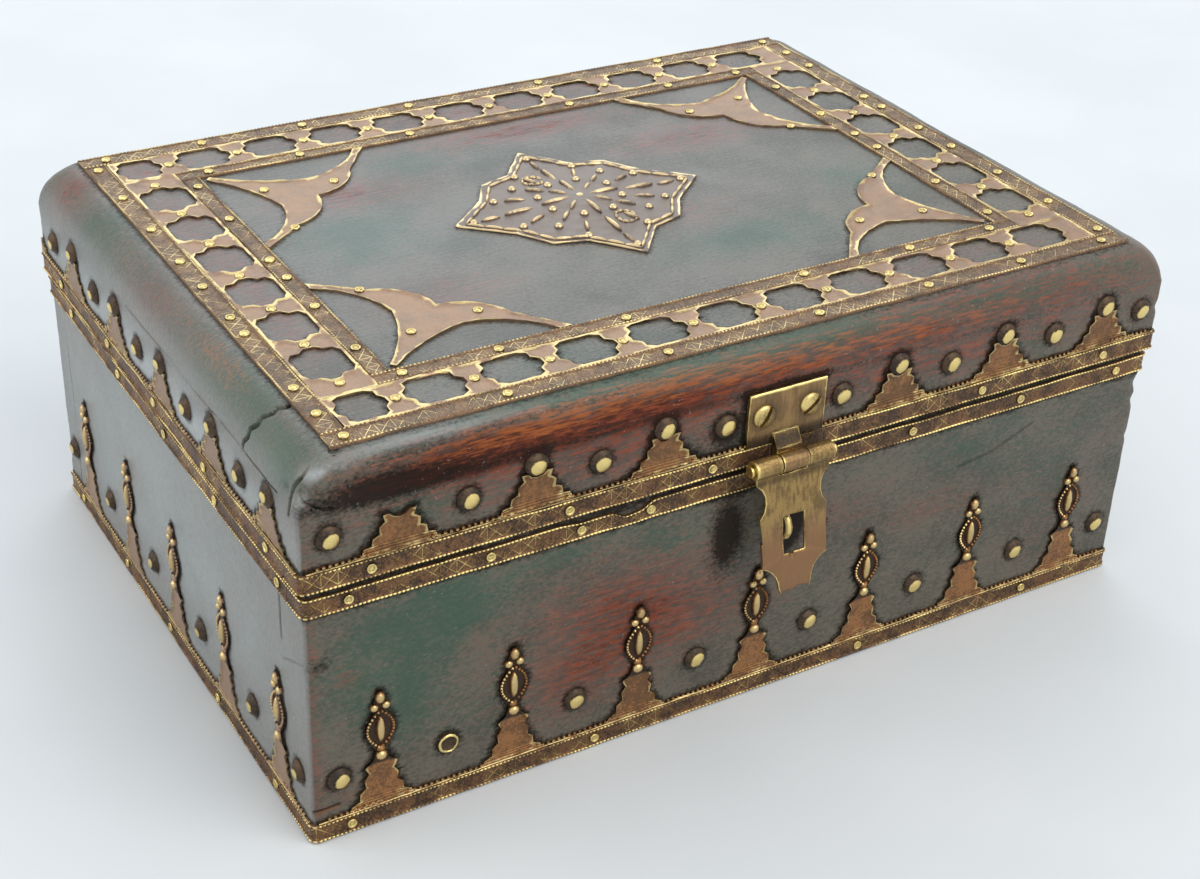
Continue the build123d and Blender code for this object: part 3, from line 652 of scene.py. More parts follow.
@dataclass(frozen=True)
class PaintedTimber:
    """Old paint: dark green over red-brown, streaked, speckled and rubbed, with painted shade and painted
    sheen over it.
    """

    name: str
    ground: tuple = shade(98, 92, 79)
    shadow: tuple = shade(72, 66, 56)
    green: tuple = shade(32, 84, 62)
    red: tuple = shade(142, 68, 44)
    deep_red: tuple = shade(72, 32, 22)
    ochre: tuple = shade(164, 98, 50)
    grime_and_shadow_colour: tuple = shade(26, 21, 18)
    dust_and_sheen_colour: tuple = shade(170, 175, 175)
    wood: tuple = shade(134, 100, 68)
    old_wood: tuple = shade(84, 56, 36)
    deep: tuple = shade(14, 11, 9)
    green_share: float = 0.56
    red_share: float = 0.95
    ochre_share: float = 0.6
    grime_share: float = 0.88
    speck_share: float = 0.25
    streak: float = 7.0
    gloss: float = 0.42

    def material(self) -> bpy.types.Material:
        """Builds the paint, from values on the mesh for where each coat shows.

        Returns:
            The material.
        """
        bench = Bench(self.name)
        drifts = bench.cloud(24, 4)
        streaks = bench.cloud(1.2, 4, (self.streak, 1, 1), 0.62)
        speckle = bench.cloud(0.8, 3, (1.6, 1, 1), 0.6)
        flecks = bench.cloud(1.7, 4, (2.2, 1, 1), 0.65)
        hairs = bench.cloud(0.7, 4, (self.streak * 1.3, 1, 1), 0.6)
        grain = bench.cloud(1.6, 5, (14, 1, 1), 0.6)
        ochre, crack = bench.value("ochre"), bench.value("crack")
        broken = (drifts - 0.5) * 1.7 + (streaks - 0.5) * 1.5 + (speckle - 0.5) * 1.3
        other = broken * -0.6 + (hairs - 0.5) * 1.6
        green_shows = (bench.value("green") + broken).fit(0.1, 1.25)
        red_shows = (bench.value("red") + other).fit(0.05, 1.7)
        ochre_shows = (ochre * 0.5 + (hairs - 0.5) * 2.0).fit(0.3, 0.8) * ochre.fit(0.05, 0.4)
        # Pale dust, and painted sheen and highlights, where the plan lays them.
        haze = bench.value("haze") * (streaks + drifts).fit(0.6, 1.4, 0.7, 1.1)
        # Grime, with painted shadow and painted shade where the plan lays them.
        grime = (bench.value("grime") + (speckle - 0.5) * 0.9).fit(0.12, 0.85)
        specks = bench.cloud(1.1, 2).fit(0.68, 0.75)

        colour = bench.blend((speckle + (drifts - 0.5) * 0.8).fit(0.3, 0.74), self.ground, self.shadow)
        colour = bench.blend(green_shows * self.green_share, colour, self.green)
        reds = bench.blend((hairs + flecks * 0.6).fit(0.66, 0.98), self.deep_red, self.red)
        colour = bench.blend(red_shows * self.red_share, colour, reds)
        dark_flecks = (red_shows + (flecks - 0.5) * 1.2).fit(0.8, 1.2, 0.0, 0.4)
        colour = bench.blend(dark_flecks, colour, self.deep_red)
        colour = bench.blend(ochre_shows * self.ochre_share, colour, self.ochre)
        colour = bench.blend(haze, colour, self.dust_and_sheen_colour)
        colour = bench.blend(grime * self.grime_share, colour, self.grime_and_shadow_colour)
        colour = bench.blend(specks * self.speck_share, colour, self.dust_and_sheen_colour)
        wood = bench.blend(grain.fit(0.3, 0.7), self.wood, self.old_wood)
        colour = bench.blend(bench.value("bare"), colour, wood)
        colour = bench.blend(crack, colour, self.deep)

        coarse = bench.bump(streaks * 0.7 + drifts * 1.4, 0.2)
        fine = bench.bump(speckle + bench.cloud(0.35, 2) * 0.6, 0.1, coarse)
        rough = (drifts + grime * 0.5 + speckle * 0.3).fit(0.3, 1.3, 0.28, 0.56)
        dull = (grime * 0.85).most(red_shows.fit(0.55, 0.95, 0.0, 0.8)).most(crack)
        return bench.dress(Base_Color=colour, Roughness=rough, Normal=fine,
                           Specular_IOR_Level=(1.0 - dull) * self.gloss)


@dataclass(frozen=True)
class AgedBrass:
    """Thin brass sheet: dark patina in the hollows, gold where it is rubbed."""

    name: str
    patina: tuple = shade(70, 57, 45)
    copper: tuple = shade(112, 84, 58)
    blush: tuple = shade(124, 92, 70)
    gold: tuple = shade(228, 204, 134)
    soot: tuple = shade(34, 27, 22)
    start: float = 0.35
    relief: Relief = Relief.PLAIN
    line_wear: float = 0.5
    rule_pitch: float = 0.42
    cross_pitch: float = 4.6
    strokes: tuple = (1.0, 1.0, 1.0)

    def ruled_lines(self, bench: Bench) -> Reading:
        """Fine lines pressed across the foot of a crest.

        Args:
            bench: the material's bench.

        Returns:
            Height of the lines, between 0 and 1.
        """
        lines = bench.value("run").reckon("PINGPONG", self.rule_pitch).fit(0.16, 0.34, 1.0, 0.0)
        return lines * bench.value("across").fit(0.0, 1.0)

    def crossed_lines(self, bench: Bench) -> Reading:
        """Crosses between upright bars, pressed along a strip.

        Args:
            bench: the material's bench.

        Returns:
            Height of the lines, between 0 and 1.
        """
        across = bench.value("across")
        cell = (bench.value("run") * (1 / self.cross_pitch)).reckon("FRACT")
        rising = cell * 2.0 - 1.0
        cross = abs(across - rising).least(abs(across + rising)).fit(0.05, 0.2, 1.0, 0.0)
        bar = cell.least(1.0 - cell).fit(0.015, 0.06, 1.0, 0.0)
        spoke = abs(cell - 0.5).fit(0.01, 0.05, 0.7, 0.0)
        return cross.most(bar).most(spoke) * abs(across).fit(0.9, 1.15, 1.0, 0.0)

    def material(self) -> bpy.types.Material:
        """Builds the brass, with its worn value and noise choosing between patina and gold.

        Returns:
            The material.
        """
        bench = Bench(self.name)
        tarnish = bench.cloud(6, 4)
        grain = bench.cloud(0.45, 3)
        brushed = bench.cloud(0.9, 3, self.strokes)
        worn = bench.value("worn") + (tarnish - 0.5) * 0.8 + (grain - 0.5) * 0.5
        height = grain * 0.3 + tarnish * 0.25 + brushed * 0.2
        if self.relief is not Relief.PLAIN:
            lines = self.ruled_lines(bench) if self.relief is Relief.RULED else self.crossed_lines(bench)
            rubbed = bench.cloud(9, 2).fit(0.3, 0.6, 0.35 * self.line_wear, 1.1 * self.line_wear)
            worn = worn + lines * rubbed
            height = height + lines
        mottle = tarnish + (brushed - 0.5) * 0.8 + (grain - 0.5) * 0.4
        body = bench.blend(mottle.fit(0.34, 0.62), self.patina, self.copper)
        # Paler tone where the mesh asks for it: a tone of its own, and painted sheen on the lid's top and
        # the left crests.
        body = bench.blend(bench.value("blush"), body, self.blush)
        shows = worn.fit(self.start, self.start + 0.5)
        colour = bench.blend(shows, body, self.gold)
        # Soot, and painted shade below the hasp's barrel.
        soot = (bench.value("soot") + (grain - 0.5) * 0.7).fit(0.2, 0.8)
        colour = bench.blend(soot * 0.9, colour, self.soot)
        metal = worn.fit(self.start - 0.5, self.start + 0.3, 0.55, 1.0)
        return bench.dress(Base_Color=colour, Roughness=shows.fit(0.0, 1.0, 0.46, 0.3), Metallic=metal,
                           Normal=bench.bump(height, 0.14))


STRIP_BRASS = AgedBrass("embossed_brass", relief=Relief.CROSSED, patina=shade(74, 56, 42),
                        copper=shade(122, 88, 60))
# Paler copy of the strip brass for the lid's top: painted sheen.
SHEENED_TOP_BRASS = AgedBrass("embossed_top_brass", relief=Relief.CROSSED, line_wear=0.6,
                      patina=shade(102, 84, 68), copper=shade(136, 106, 80), gold=shade(216, 194, 138))
CREST_BRASS = AgedBrass("crest_sheet", relief=Relief.RULED, start=0.4, patina=shade(112, 80, 52),
                        copper=shade(158, 110, 68), blush=shade(168, 144, 124), gold=shade(208, 182, 128))
MEDALLION_BRASS = AgedBrass("medallion_sheet", start=0.4, patina=shade(106, 92, 82),
                            copper=shade(134, 114, 98), blush=shade(132, 120, 112),
                            gold=shade(226, 200, 152))
NAIL_BRASS = AgedBrass("nail_heads", patina=shade(52, 42, 34), copper=shade(84, 66, 48))
HASP_BRASS = AgedBrass("hasp_sheet", start=0.4, strokes=(1.0, 1.0, 12.0), patina=shade(116, 94, 60),
                       copper=shade(158, 130, 82), blush=shade(134, 98, 68))


@dataclass(frozen=True)
class BareTimber:
    """Unpainted wood inside the box: brown, dusty and grained along X."""

    pale: tuple = shade(134, 100, 68)
    dark: tuple = shade(84, 56, 36)
    stain: tuple = shade(62, 44, 32)

    def material(self) -> bpy.types.Material:
        """Builds the bare wood.

        Returns:
            The material.
        """
        bench = Bench("bare_timber")
        grain = bench.cloud(1.6, 5, (14, 1, 1), 0.6)
        stains = bench.cloud(32, 3).fit(0.45, 0.8) * 0.6
        colour = bench.blend(stains, bench.blend(grain.fit(0.3, 0.7), self.pale, self.dark), self.stain)
        return bench.dress(Base_Color=colour, Roughness=grain.fit(0.3, 0.7, 0.62, 0.82),
                           Normal=bench.bump(grain, 0.25))


@dataclass(frozen=True)
class Patch:
    """A place where one coat of the paint shows."""

    coat: Shade
    centre: tuple[float, float, float]
    reach: tuple[float, float, float]
    strength: float = 0.8

    def over(self, places: np.ndarray) -> np.ndarray:
        """How strongly the coat shows at each of many places."""
        gaps = (places - np.array(self.centre)) / np.array(self.reach)
        return self.strength * np.exp(-(gaps ** 2).sum(axis=1))


@dataclass(frozen=True)
class Crack:
    """An open crack that runs through a few points."""

    points: tuple[tuple[float, float, float], ...]
    half_width: float
    depth: float

    def over(self, places: np.ndarray) -> np.ndarray:
        """How deep in the crack each of many places is.

        Args:
            places: the places, one a row.

        Returns:
            One value a place.
        """
        nearest = np.full(len(places), self.half_width)
        for start, end in zip(self.points, self.points[1:]):
            first, along = np.array(start), np.array(end) - np.array(start)
            share = np.clip((places - first) @ along / (along @ along), 0.0, 1.0)
            gaps = np.linalg.norm(places - first - share[:, None] * along, axis=1)
            nearest = np.minimum(nearest, gaps)
        return 1 - nearest / self.half_width


@dataclass(frozen=True)
class Chip:
    """A splinter gone from an edge."""

    centre: tuple[float, float, float]
    reach: float
    depth: float

    def over(self, places: np.ndarray) -> np.ndarray:
        """How deep the chip is at each of many places."""
        gaps = np.linalg.norm(places - np.array(self.centre), axis=1)
        return self.depth * np.exp(-(gaps / self.reach) ** 2)


@dataclass
class PaintPlan:
    """Where the coats, the grime, the painted shade and sheen, the cracks and the chips are on the
    outside of the box.
    """

    patches: tuple[Patch, ...]
    cracks: tuple[Crack, ...]
    chips: tuple[Chip, ...]
    stains: list[tuple[Vector, float]] = field(default_factory=list)
    fittings: KDTree | None = None
    dirt_and_shade_reach: float = 1.5
    dirt_and_shade_on_top: float = 0.5
    dirt_and_shade_on_walls: float = 0.85
    flaw_spacing: float = 0.4
    inside_x: float = 134.5
    inside_y: float = 92.5
    inside_top: float = 110.0

    def find_fittings(self, nodes: Iterable[str]) -> None:
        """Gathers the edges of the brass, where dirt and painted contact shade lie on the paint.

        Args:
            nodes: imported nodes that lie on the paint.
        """
        points = []
        for node in nodes:
            piece = Workpiece.copy_of(node)
            points += piece.sharp_points(1.0)
            piece.mesh.free()
        self.fittings = tree_of(points)

    def flaws(self) -> KDTree:
        """Points along the cracks and in the chips, where the wood needs a finer mesh.

        Returns:
            Search tree of the points.
        """
        points = [Vector(chip.centre) for chip in self.chips]
        for crack in self.cracks:
            for start, end in zip(crack.points, crack.points[1:]):
                span = Vector(end) - Vector(start)
                count = max(2, round(span.length / self.flaw_spacing))
                points += [Vector(start) + span * (index / count) for index in range(count + 1)]
        return tree_of(points)

    def hollows(self, places: np.ndarray) -> np.ndarray:
        """How far cracks and chips reach in at each of many places.

        Args:
            places: the places, one a row.

        Returns:
            Depths in millimetres.
        """
        total = np.zeros(len(places))
        for crack in self.cracks:
            total += crack.depth * crack.over(places)
        for chip in self.chips:
            total += chip.over(places)
        return total

    def darkening(self, point: Vector) -> float:
        """How dark the paint is beside the nearest brass edge, from dirt and painted contact shade.

        Args:
            point: place on the paint.

        Returns:
            Darkening between 0 and 1.
        """
        gap = self.fittings.find(point)[2]
        wide = self.dirt_and_shade_reach * (1.0 + 0.6 * drift(point, 7, 4))
        return (self.dirt_and_shade_on_top if point.z > LID_TOP - 0.5 else self.dirt_and_shade_on_walls) * bell(gap, wide)

    def colour(self, piece: Workpiece) -> None:
        """Gives every vertex of a painted piece its coats, grime, painted shade and sheen, and cracks.

        Args:
            piece: the painted piece.
        """
        piece.mesh.normal_update()
        verts = list(piece.mesh.verts)
        places = np.array([tuple(vert.co) for vert in verts])
        values = {coat.value: np.zeros(len(verts)) for coat in Shade}
        for patch in self.patches:
            values[patch.coat.value] += patch.over(places)
        for centre, reach in self.stains:
            gaps = np.linalg.norm(places - np.array(centre), axis=1)
            values["grime"] += 0.95 * np.exp(-(gaps / reach) ** 4)
        values["grime"] += np.array([self.darkening(vert.co) for vert in verts])
        values["crack"] = np.zeros(len(verts))
        for crack in self.cracks:
            darkness = min(1.0, 0.2 + 0.8 * crack.depth)
            dark = darkness * np.clip(2.6 * crack.over(places), 0.0, 1.0)
            values["crack"] = np.maximum(values["crack"], dark)
        # The pale coat shows only where the surface faces left or up: painted sheen on the sides that
        # catch the light.
        facing = np.array([max(-vert.normal.x, vert.normal.z) for vert in verts])
        values["haze"] *= np.clip((facing - 0.35) / 0.3, 0.0, 1.0)
        inside = np.abs(places[:, 0]) < self.inside_x
        inside &= (np.abs(places[:, 1]) < self.inside_y) & (places[:, 2] < self.inside_top)
        values["bare"] = np.where(inside, 1.0, 0.0)
        for name, amounts in values.items():
            layer = piece.layers[name]
            for vert, amount in zip(verts, amounts):
                vert[layer] = amount


# Coats by place. Each row has the patch's middle, its reach along X, Y and Z, and its strength.
COATS: dict[Shade, tuple] = {
    Shade.GREEN: (
        # Front wall.
        ((-122, -99, 55), (20, 6, 20), 0.8), ((-94, -99, 63), (18, 6, 12), 0.85),
        ((-104, -99, 34), (24, 6, 16), 0.55), ((-60, -99, 70), (36, 6, 4), 0.6),
        ((-28, -99, 63), (13, 6, 5), 0.7), ((-44, -99, 24), (6, 6, 14), 0.35),
        ((60, -99, 66), (56, 6, 9), 0.45), ((105, -99, 50), (30, 6, 20), 0.4),
        ((40, -99, 28), (40, 6, 12), 0.3),
        # Lid walls and bullnose.
        ((-104, -100, 98), (26, 6, 5), 0.5), ((95, -100, 95), (24, 6, 6), 0.4),
        ((-137, -84, 112), (7, 11, 8), 1.0), ((-64, -95, 116.8), (44, 4, 2.4), 1.4),
        ((10, -97, 115.5), (50, 9, 3.0), 1.3), ((98, -96, 112), (36, 6, 5), 0.9),
        ((-136, -52, 113), (9, 34, 9), 0.95), ((-136, 44, 113), (9, 22, 9), 0.8),
        # Top.
        ((-72, 8, 117.6), (24, 20, 3), 1.1), ((-36, 52, 117.6), (30, 12, 3), 0.8),
        ((34, -42, 117.6), (36, 13, 3), 1.0), ((84, -16, 117.6), (18, 18, 3), 0.9),
        ((-64, -79, 117.6), (40, 9, 3), 0.5),
        # Left, back and right walls.
        ((-140, 10, 40), (3, 60, 22), 0.45), ((-40, 99, 50), (50, 6, 20), 0.7),
        ((140, -30, 50), (6, 40, 22), 0.7), ((-70, 99, 111), (60, 9, 5), 0.8),
        ((138, -50, 112), (9, 40, 5), 0.8),
    ),
    Shade.RED: (
        # Front wall.
        ((-48, -99, 50), (32, 6, 14), 0.9), ((-30, -99, 34), (34, 6, 14), 0.85),
        ((-62, -99, 24), (22, 6, 14), 0.7), ((-133, -99, 13), (7, 6, 7), 0.5),
        ((-129, -99, 51), (4, 6, 3), 0.6), ((-138.5, -99, 44), (2.2, 6, 50), 0.6),
        ((28, -99, 54), (12, 6, 8), 0.5), ((62, -99, 46), (24, 6, 6), 0.55),
        ((112, -99, 28), (14, 6, 18), 0.45),
        # Lid walls and bullnose.
        ((-55, -100, 96), (30, 6, 8), 0.55), ((50, -100, 98), (60, 6, 5), 0.5),
        ((-96, -99, 108.5), (30, 9, 7), 1.5), ((-45, -99, 108.5), (38, 9, 6.5), 1.3),
        ((20, -99, 108.5), (46, 9, 6.5), 1.0), ((95, -99, 109), (50, 9, 7), 0.75),
        ((0, -100, 97), (170, 5, 9), 0.4), ((70, -96, 116.2), (50, 5, 2.0), 0.7),
        ((-136, 6, 112), (9, 16, 9), 0.7), ((-135, 80, 113), (9, 12, 9), 0.85),
        ((-141, -10, 96), (4, 60, 8), 0.3),
        # Top.
        ((-70, -34, 117.6), (24, 14, 3), 0.8), ((-62, 36, 117.6), (28, 12, 3), 1.0),
        ((8, 58, 117.6), (46, 9, 3), 1.1), ((52, 30, 117.6), (32, 12, 3), 1.0),
        ((10, -18, 117.6), (30, 12, 3), 0.7), ((-114, 10, 117.6), (8, 90, 3), 0.9),
        ((0, 80, 117.6), (120, 7, 3), 0.9), ((66, -79, 117.6), (50, 8, 3), 0.6),
        # Left, back and right walls.
        ((-140, 40, 20), (3, 40, 10), 0.4), ((50, 99, 44), (50, 6, 20), 0.75),
        ((140, 44, 40), (6, 36, 20), 0.7), ((40, 99, 111), (80, 9, 5), 1.1),
        ((138, 30, 111), (9, 50, 5), 1.1),
    ),
    Shade.GRIME: (
        # Front wall: the first row is painted shadow in the hasp's slot and to the left of its leaf.
        ((7, -99, 58), (6.5, 6, 10), 2.0), ((-13, -99, 60), (6, 6, 14), 1.1),
        ((-136, -99, 58), (4, 6, 3), 0.6), ((20, -99, 52), (4, 6, 12), 0.5),
        # Lid walls and bullnose: painted shadow left of the hasp plate, painted shade along the foot of
        # the bullnose, and darker paint along its front.
        ((-16, -100, 92), (12, 6, 8), 0.5), ((0, -100, 104.6), (150, 4, 1.8), 0.4),
        ((-70, -100, 106.5), (50, 4, 2.6), 0.35), ((-122, -100, 107), (18, 4, 5), 0.6),
        ((-80, -99, 114.5), (60, 4, 1.6), 0.35), ((-106, -99, 107.5), (26, 5, 6), 0.42),
        # Top.
        ((0, -80, 117.6), (170, 8, 2), 0.16), ((0, 80, 117.6), (170, 8, 2), 0.16),
        ((114, 0, 117.6), (8, 110, 2), 0.16),
    ),
    Shade.HAZE: (
        # Lid walls and bullnose: painted highlight at the bullnose's left corner, and painted sheen on
        # the left lid wall and bullnose.
        ((-132, -97.5, 113.6), (8, 3, 1.5), 1.0), ((-108, -95.5, 116.2), (26, 3, 1.6), 0.5),
        ((-139, -99, 109), (1.5, 2.5, 3), 0.5), ((-138, 0, 110), (6, 120, 12), 0.1),
        ((-141, 0, 93), (2, 120, 9), 0.58),
        # Top: painted sheen and pale dust.
        ((0, 10, 117.6), (220, 160, 2.0), 0.1), ((-84, 10, 117.6), (50, 80, 2.0), 0.1),
        # Left, back and right walls: on the left, pale dust and painted sheen.
        ((-140.4, 0, 42), (1.4, 150, 60), 0.78),
    ),
    Shade.OCHRE: (
        # Lid walls and bullnose.
        ((-40, -97, 113.6), (80, 5, 3.6), 1.2), ((30, -99, 109.5), (80, 5, 3.0), 0.8),
        ((-90, -99, 110), (36, 5, 3.0), 0.6), ((-134, -38, 115), (6, 30, 5), 1.0),
        ((-134, 30, 115), (6, 30, 4), 0.7),
    ),
}


def case_and_lid_paint() -> PaintPlan:
    """Coats, cracks and chips where the real box shows them.

    Returns:
        The plan of the paint.
    """
    patches = tuple(Patch(coat, *row) for coat, rows in COATS.items() for row in rows)
    cracks = (
        Crack(((-128.8, -70.0, 117.6), (-130.6, -70.8, 117.5), (-132.4, -69.4, 117.2),
               (-134.0, -70.3, 116.4), (-136.2, -68.5, 115.0), (-137.6, -69.2, 113.7),
               (-139.0, -67.4, 111.8), (-139.9, -68.0, 110.0), (-140.6, -66.3, 107.9),
               (-141, -66.1, 105.8)), 0.9, 2.6),
        Crack(((-140.9, 20, 105.6), (-141, -12, 105.9), (-141, -30, 105.5), (-140.9, -58, 105.9),
               (-140.8, -88, 105.2)), 0.45, 0.6),
        Crack(((-140.2, 88, 72), (-140.2, 87.4, 40), (-140.2, 88, 8)), 0.45, 0.5),
        Crack(((-140.6, -96.5, 111), (-139.4, -99.2, 108.6), (-137.4, -100, 107.4), (-135, -100, 105.4),
               (-131.4, -100, 104.6)), 0.65, 1.2),
        Crack(((-134.6, -95, 116.0), (-137.4, -95.8, 113.4), (-139.6, -95.0, 110.4),
               (-140.9, -95.8, 106.4), (-141, -94.8, 102.6)), 0.65, 1.3),
        Crack(((-141, -99, 11), (-137, -99.2, 10.6), (-132.5, -99.2, 10.9)), 0.9, 0.6),
        Crack(((-140.2, -83, 73), (-140.2, -83.4, 66), (-140.2, -83.2, 58)), 0.8, 0.6),
        Crack(((-140.2, -84, 52), (-140.2, -90, 55), (-140.2, -98, 58.5)), 0.6, 0.4),
        Crack(((70, -99, 58.2), (82, -99, 60), (97, -99, 66)), 0.8, 0.14),
    )
    chips = (
        Chip((140, -99, 69), 2.2, 1.3),
        Chip((140, -99, 63), 1.8, 1.0),
        Chip((140, -99, 50), 1.5, 0.6),
        Chip((-140, -99, 57), 1.4, 0.7),
        Chip((-138.6, -98, 110), 2.4, 1.6),
        Chip((-140.6, -91.5, 108.5), 1.8, 1.3),
        Chip((-137, -98.5, 104), 2.6, 1.1),
        Chip((-128.5, -94.5, 117.2), 1.6, 0.6),
        Chip((141, -100, 96), 1.6, 0.8),
    )
    return PaintPlan(patches, cracks, chips)


PAINT_VALUES = tuple(coat.value for coat in Shade) + ("crack",)
BRASS_VALUES = ("worn", "blush", "soot", "run", "across")


@dataclass(frozen=True)
class Level:
    """One turn round a ring: its half sizes, corner radius, height and how far it faces up."""

    half_x: float
    half_y: float
    radius: float
    height: float
    middle_y: float = 0.0
    lean: float = 0.0
    rough: float = 1.0


@dataclass
class TimberRing:
    """Walls of the case or the lid as one closed ring with soft, dented faces."""

    name: str
    body: Body
    stands_for: tuple[str, ...]
    levels: list[Level]
    step: float = 1.2
    fine_step: float = 0.5
    front_reach: float = 14.0
    side_reach: float = 22.0
    corner_steps: int = 8
    swell: float = 0.22
    dent: float = 0.1
    grit: float = 0.05
    worn_down: float = 0.14
    flaw_reach: float = 1.3
    flaw_step: float = 0.4

    def side_shares(self, half: float, fine_start: float = 0.0, fine_end: float = 0.0) -> list[float]:
        """Places along one side from -1 to 1, closer together for a stretch near a cracked corner.

        Args:
            half: half the side's length.
            fine_start: length of a finer stretch at its start.
            fine_end: length of a finer stretch at its end.

        Returns:
            The places as shares of the half length.
        """
        shares = [-1.0]
        here = -half
        while here < half - 0.5:
            near = here < fine_start - half or here > half - fine_end
            here = min(half, here + (self.fine_step if near else self.step))
            shares.append(here / half)
        shares[-1] = 1.0
        return shares

    def stations(self) -> list[tuple[int, float, float]]:
        """Places round the ring: quarter, share along its side, and turn round its corner.

        Returns:
            The places in order.
        """
        wide, deep = self.levels[0].half_x, self.levels[0].half_y
        sides = [
            self.side_shares(wide, fine_start=self.front_reach),
            self.side_shares(deep),
            self.side_shares(wide),
            self.side_shares(deep, fine_end=self.side_reach),
        ]
        places = []
        for quarter, shares in enumerate(sides):
            places += [(quarter, share, 0.0) for share in shares]
            places += [(quarter, 1.0, step / self.corner_steps) for step in range(1, self.corner_steps)]
        return places

    def point(self, place: tuple[int, float, float], level: Level) -> tuple[Vector, Vector]:
        """Point and outward direction at one place of one level.

        Args:
            place: quarter, share and turn.
            level: the level.

        Returns:
            The point and the direction.
        """
        quarter, share, turn = place
        wide, deep = level.half_x - level.radius, level.half_y - level.radius
        spans = [(wide, 0), (0, deep), (-wide, 0), (0, -deep)]
        corners = [(0, -deep), (wide, 0), (0, deep), (-wide, 0)]
        span, across = spans[quarter], corners[quarter]
        angle = -math.pi / 2 + quarter * math.pi / 2 + turn * math.pi / 2
        flat = Vector((math.cos(angle), math.sin(angle), 0))
        x = span[0] * share + across[0] + level.radius * flat.x
        y = span[1] * share + across[1] + level.radius * flat.y + level.middle_y
        outward = flat * math.cos(level.lean) + Vector((0, 0, math.sin(level.lean)))
        return Vector((x, y, level.height)), outward

    def build(self, paint: PaintPlan, dress: bpy.types.Material) -> bpy.types.Object:
        """Sweeps the levels round the ring, roughens, cracks and paints them.

        Args:
            paint: where the coats and flaws are.
            dress: the paint's material.

        Returns:
            The finished piece.
        """
        piece = Workpiece(PAINT_VALUES)
        places = self.stations()
        around, up = len(places), len(self.levels)
        bmesh.ops.create_grid(piece.mesh, x_segments=around, y_segments=up, size=0.5)
        for vert in piece.mesh.verts:
            place = places[round((vert.co.x + 0.5) * around) % around]
            level = self.levels[round((vert.co.y + 0.5) * up) % up]
            point, outward = self.point(place, level)
            lumps = self.swell * drift(point, 24) + self.dent * drift(point, 6, 3)
            lumps += self.grit * drift(point, 1.8, 7) - self.worn_down
            push = level.rough * lumps
            if point.z < BASE_TOP + 1.7:
                push = max(push, 0.04)
            vert.co = point + outward * push
        bmesh.ops.remove_doubles(piece.mesh, verts=piece.mesh.verts, dist=0.0005)
        bmesh.ops.recalc_face_normals(piece.mesh, faces=piece.mesh.faces)
        flaws = paint.flaws()

        def by_flaw(face: bmesh.types.BMFace) -> bool:
            """Tells whether a face lies beside a crack or a chip."""
            return flaws.find(face.calc_center_median())[2] < self.flaw_reach

        piece.refine(by_flaw, self.flaw_step)
        piece.mesh.normal_update()
        inwards = [(vert, vert.normal.copy()) for vert in piece.mesh.verts]
        hollows = paint.hollows(np.array([tuple(vert.co) for vert, _ in inwards]))
        for (vert, normal), hollow in zip(inwards, hollows):
            vert.co -= normal * hollow
        paint.colour(piece)
        return piece.finish(self.name, self.body, Slot.PAINT, dress, self.stands_for, 60.0)


def lid_levels() -> list[Level]:
    """Levels of the lid's ring: wall, bullnose, land under the strips, rabbet and inside.

    Returns:
        The levels in order.
    """
    levels = [Level(LID_HALF_X - 0.8, LID_HALF_Y - 0.8, CORNER_RADIUS, LID_BOTTOM, rough=0.3)]
    steps = 28
    for step in range(steps + 1):
        height = LID_BOTTOM + 0.8 + (SHOULDER - LID_BOTTOM - 0.8) * step / steps
        levels.append(Level(LID_HALF_X, LID_HALF_Y, CORNER_RADIUS, height))
    bends = 26
    for step in range(1, bends + 1):
        angle = math.pi / 2 * step / bends
        radius = CORNER_RADIUS + 4.4 * math.sin(angle) ** 0.7 - 2.4 * ramp(angle, 1.0, 1.57)
        inward = 1 - math.cos(angle)
        levels.append(Level(LID_HALF_X - 12 * inward, LID_HALF_Y - 6 * inward, radius,
                            SHOULDER + (LID_TOP - SHOULDER) * math.sin(angle), lean=angle, rough=1.3))
    for inward in (1.2, 2.4):
        levels.append(Level(129 - inward, 94 - inward, 2.5, LID_TOP, lean=math.pi / 2, rough=0.6))
    levels.append(Level(125.6, 90.6, 0.4, LID_TOP, lean=math.pi / 2, rough=0.0))
    levels.append(Level(125.6, 90.6, 0.4, 108.6, rough=0.0))
    levels.append(Level(122, 84, 0.4, 108.6, rough=0.0))
    levels.append(Level(122, 84, 0.4, 95, rough=0.0))
    levels.append(Level(122, 84, 0.4, LID_BOTTOM, rough=0.0))
    return levels


def case_levels() -> list[Level]:
    """Levels of the case's ring: down to the floor outside, the rim, and the inside to the base.

    Returns:
        The levels in order.
    """
    levels = [Level(CASE_HALF_X - 0.5, CASE_HALF_Y - 0.5, CORNER_RADIUS, 0.2, rough=0.1)]
    steps = 62
    for step in range(steps + 1):
        height = 0.8 + (RIM - 0.8 - 0.8) * step / steps
        levels.append(Level(CASE_HALF_X, CASE_HALF_Y, CORNER_RADIUS, height))
    levels.append(Level(CASE_HALF_X - 0.8, CASE_HALF_Y - 0.8, CORNER_RADIUS, RIM, lean=1.2, rough=0.3))
    levels.append(Level(133, 91, 0.6, RIM, rough=0.0))
    levels.append(Level(127, 84, 0.4, RIM, 1.0, rough=0.0))
    for height in (70.0, 50.0, 30.0, 10.4):
        levels.append(Level(127, 84, 0.4, height, 1.0, rough=0.0))
    return levels


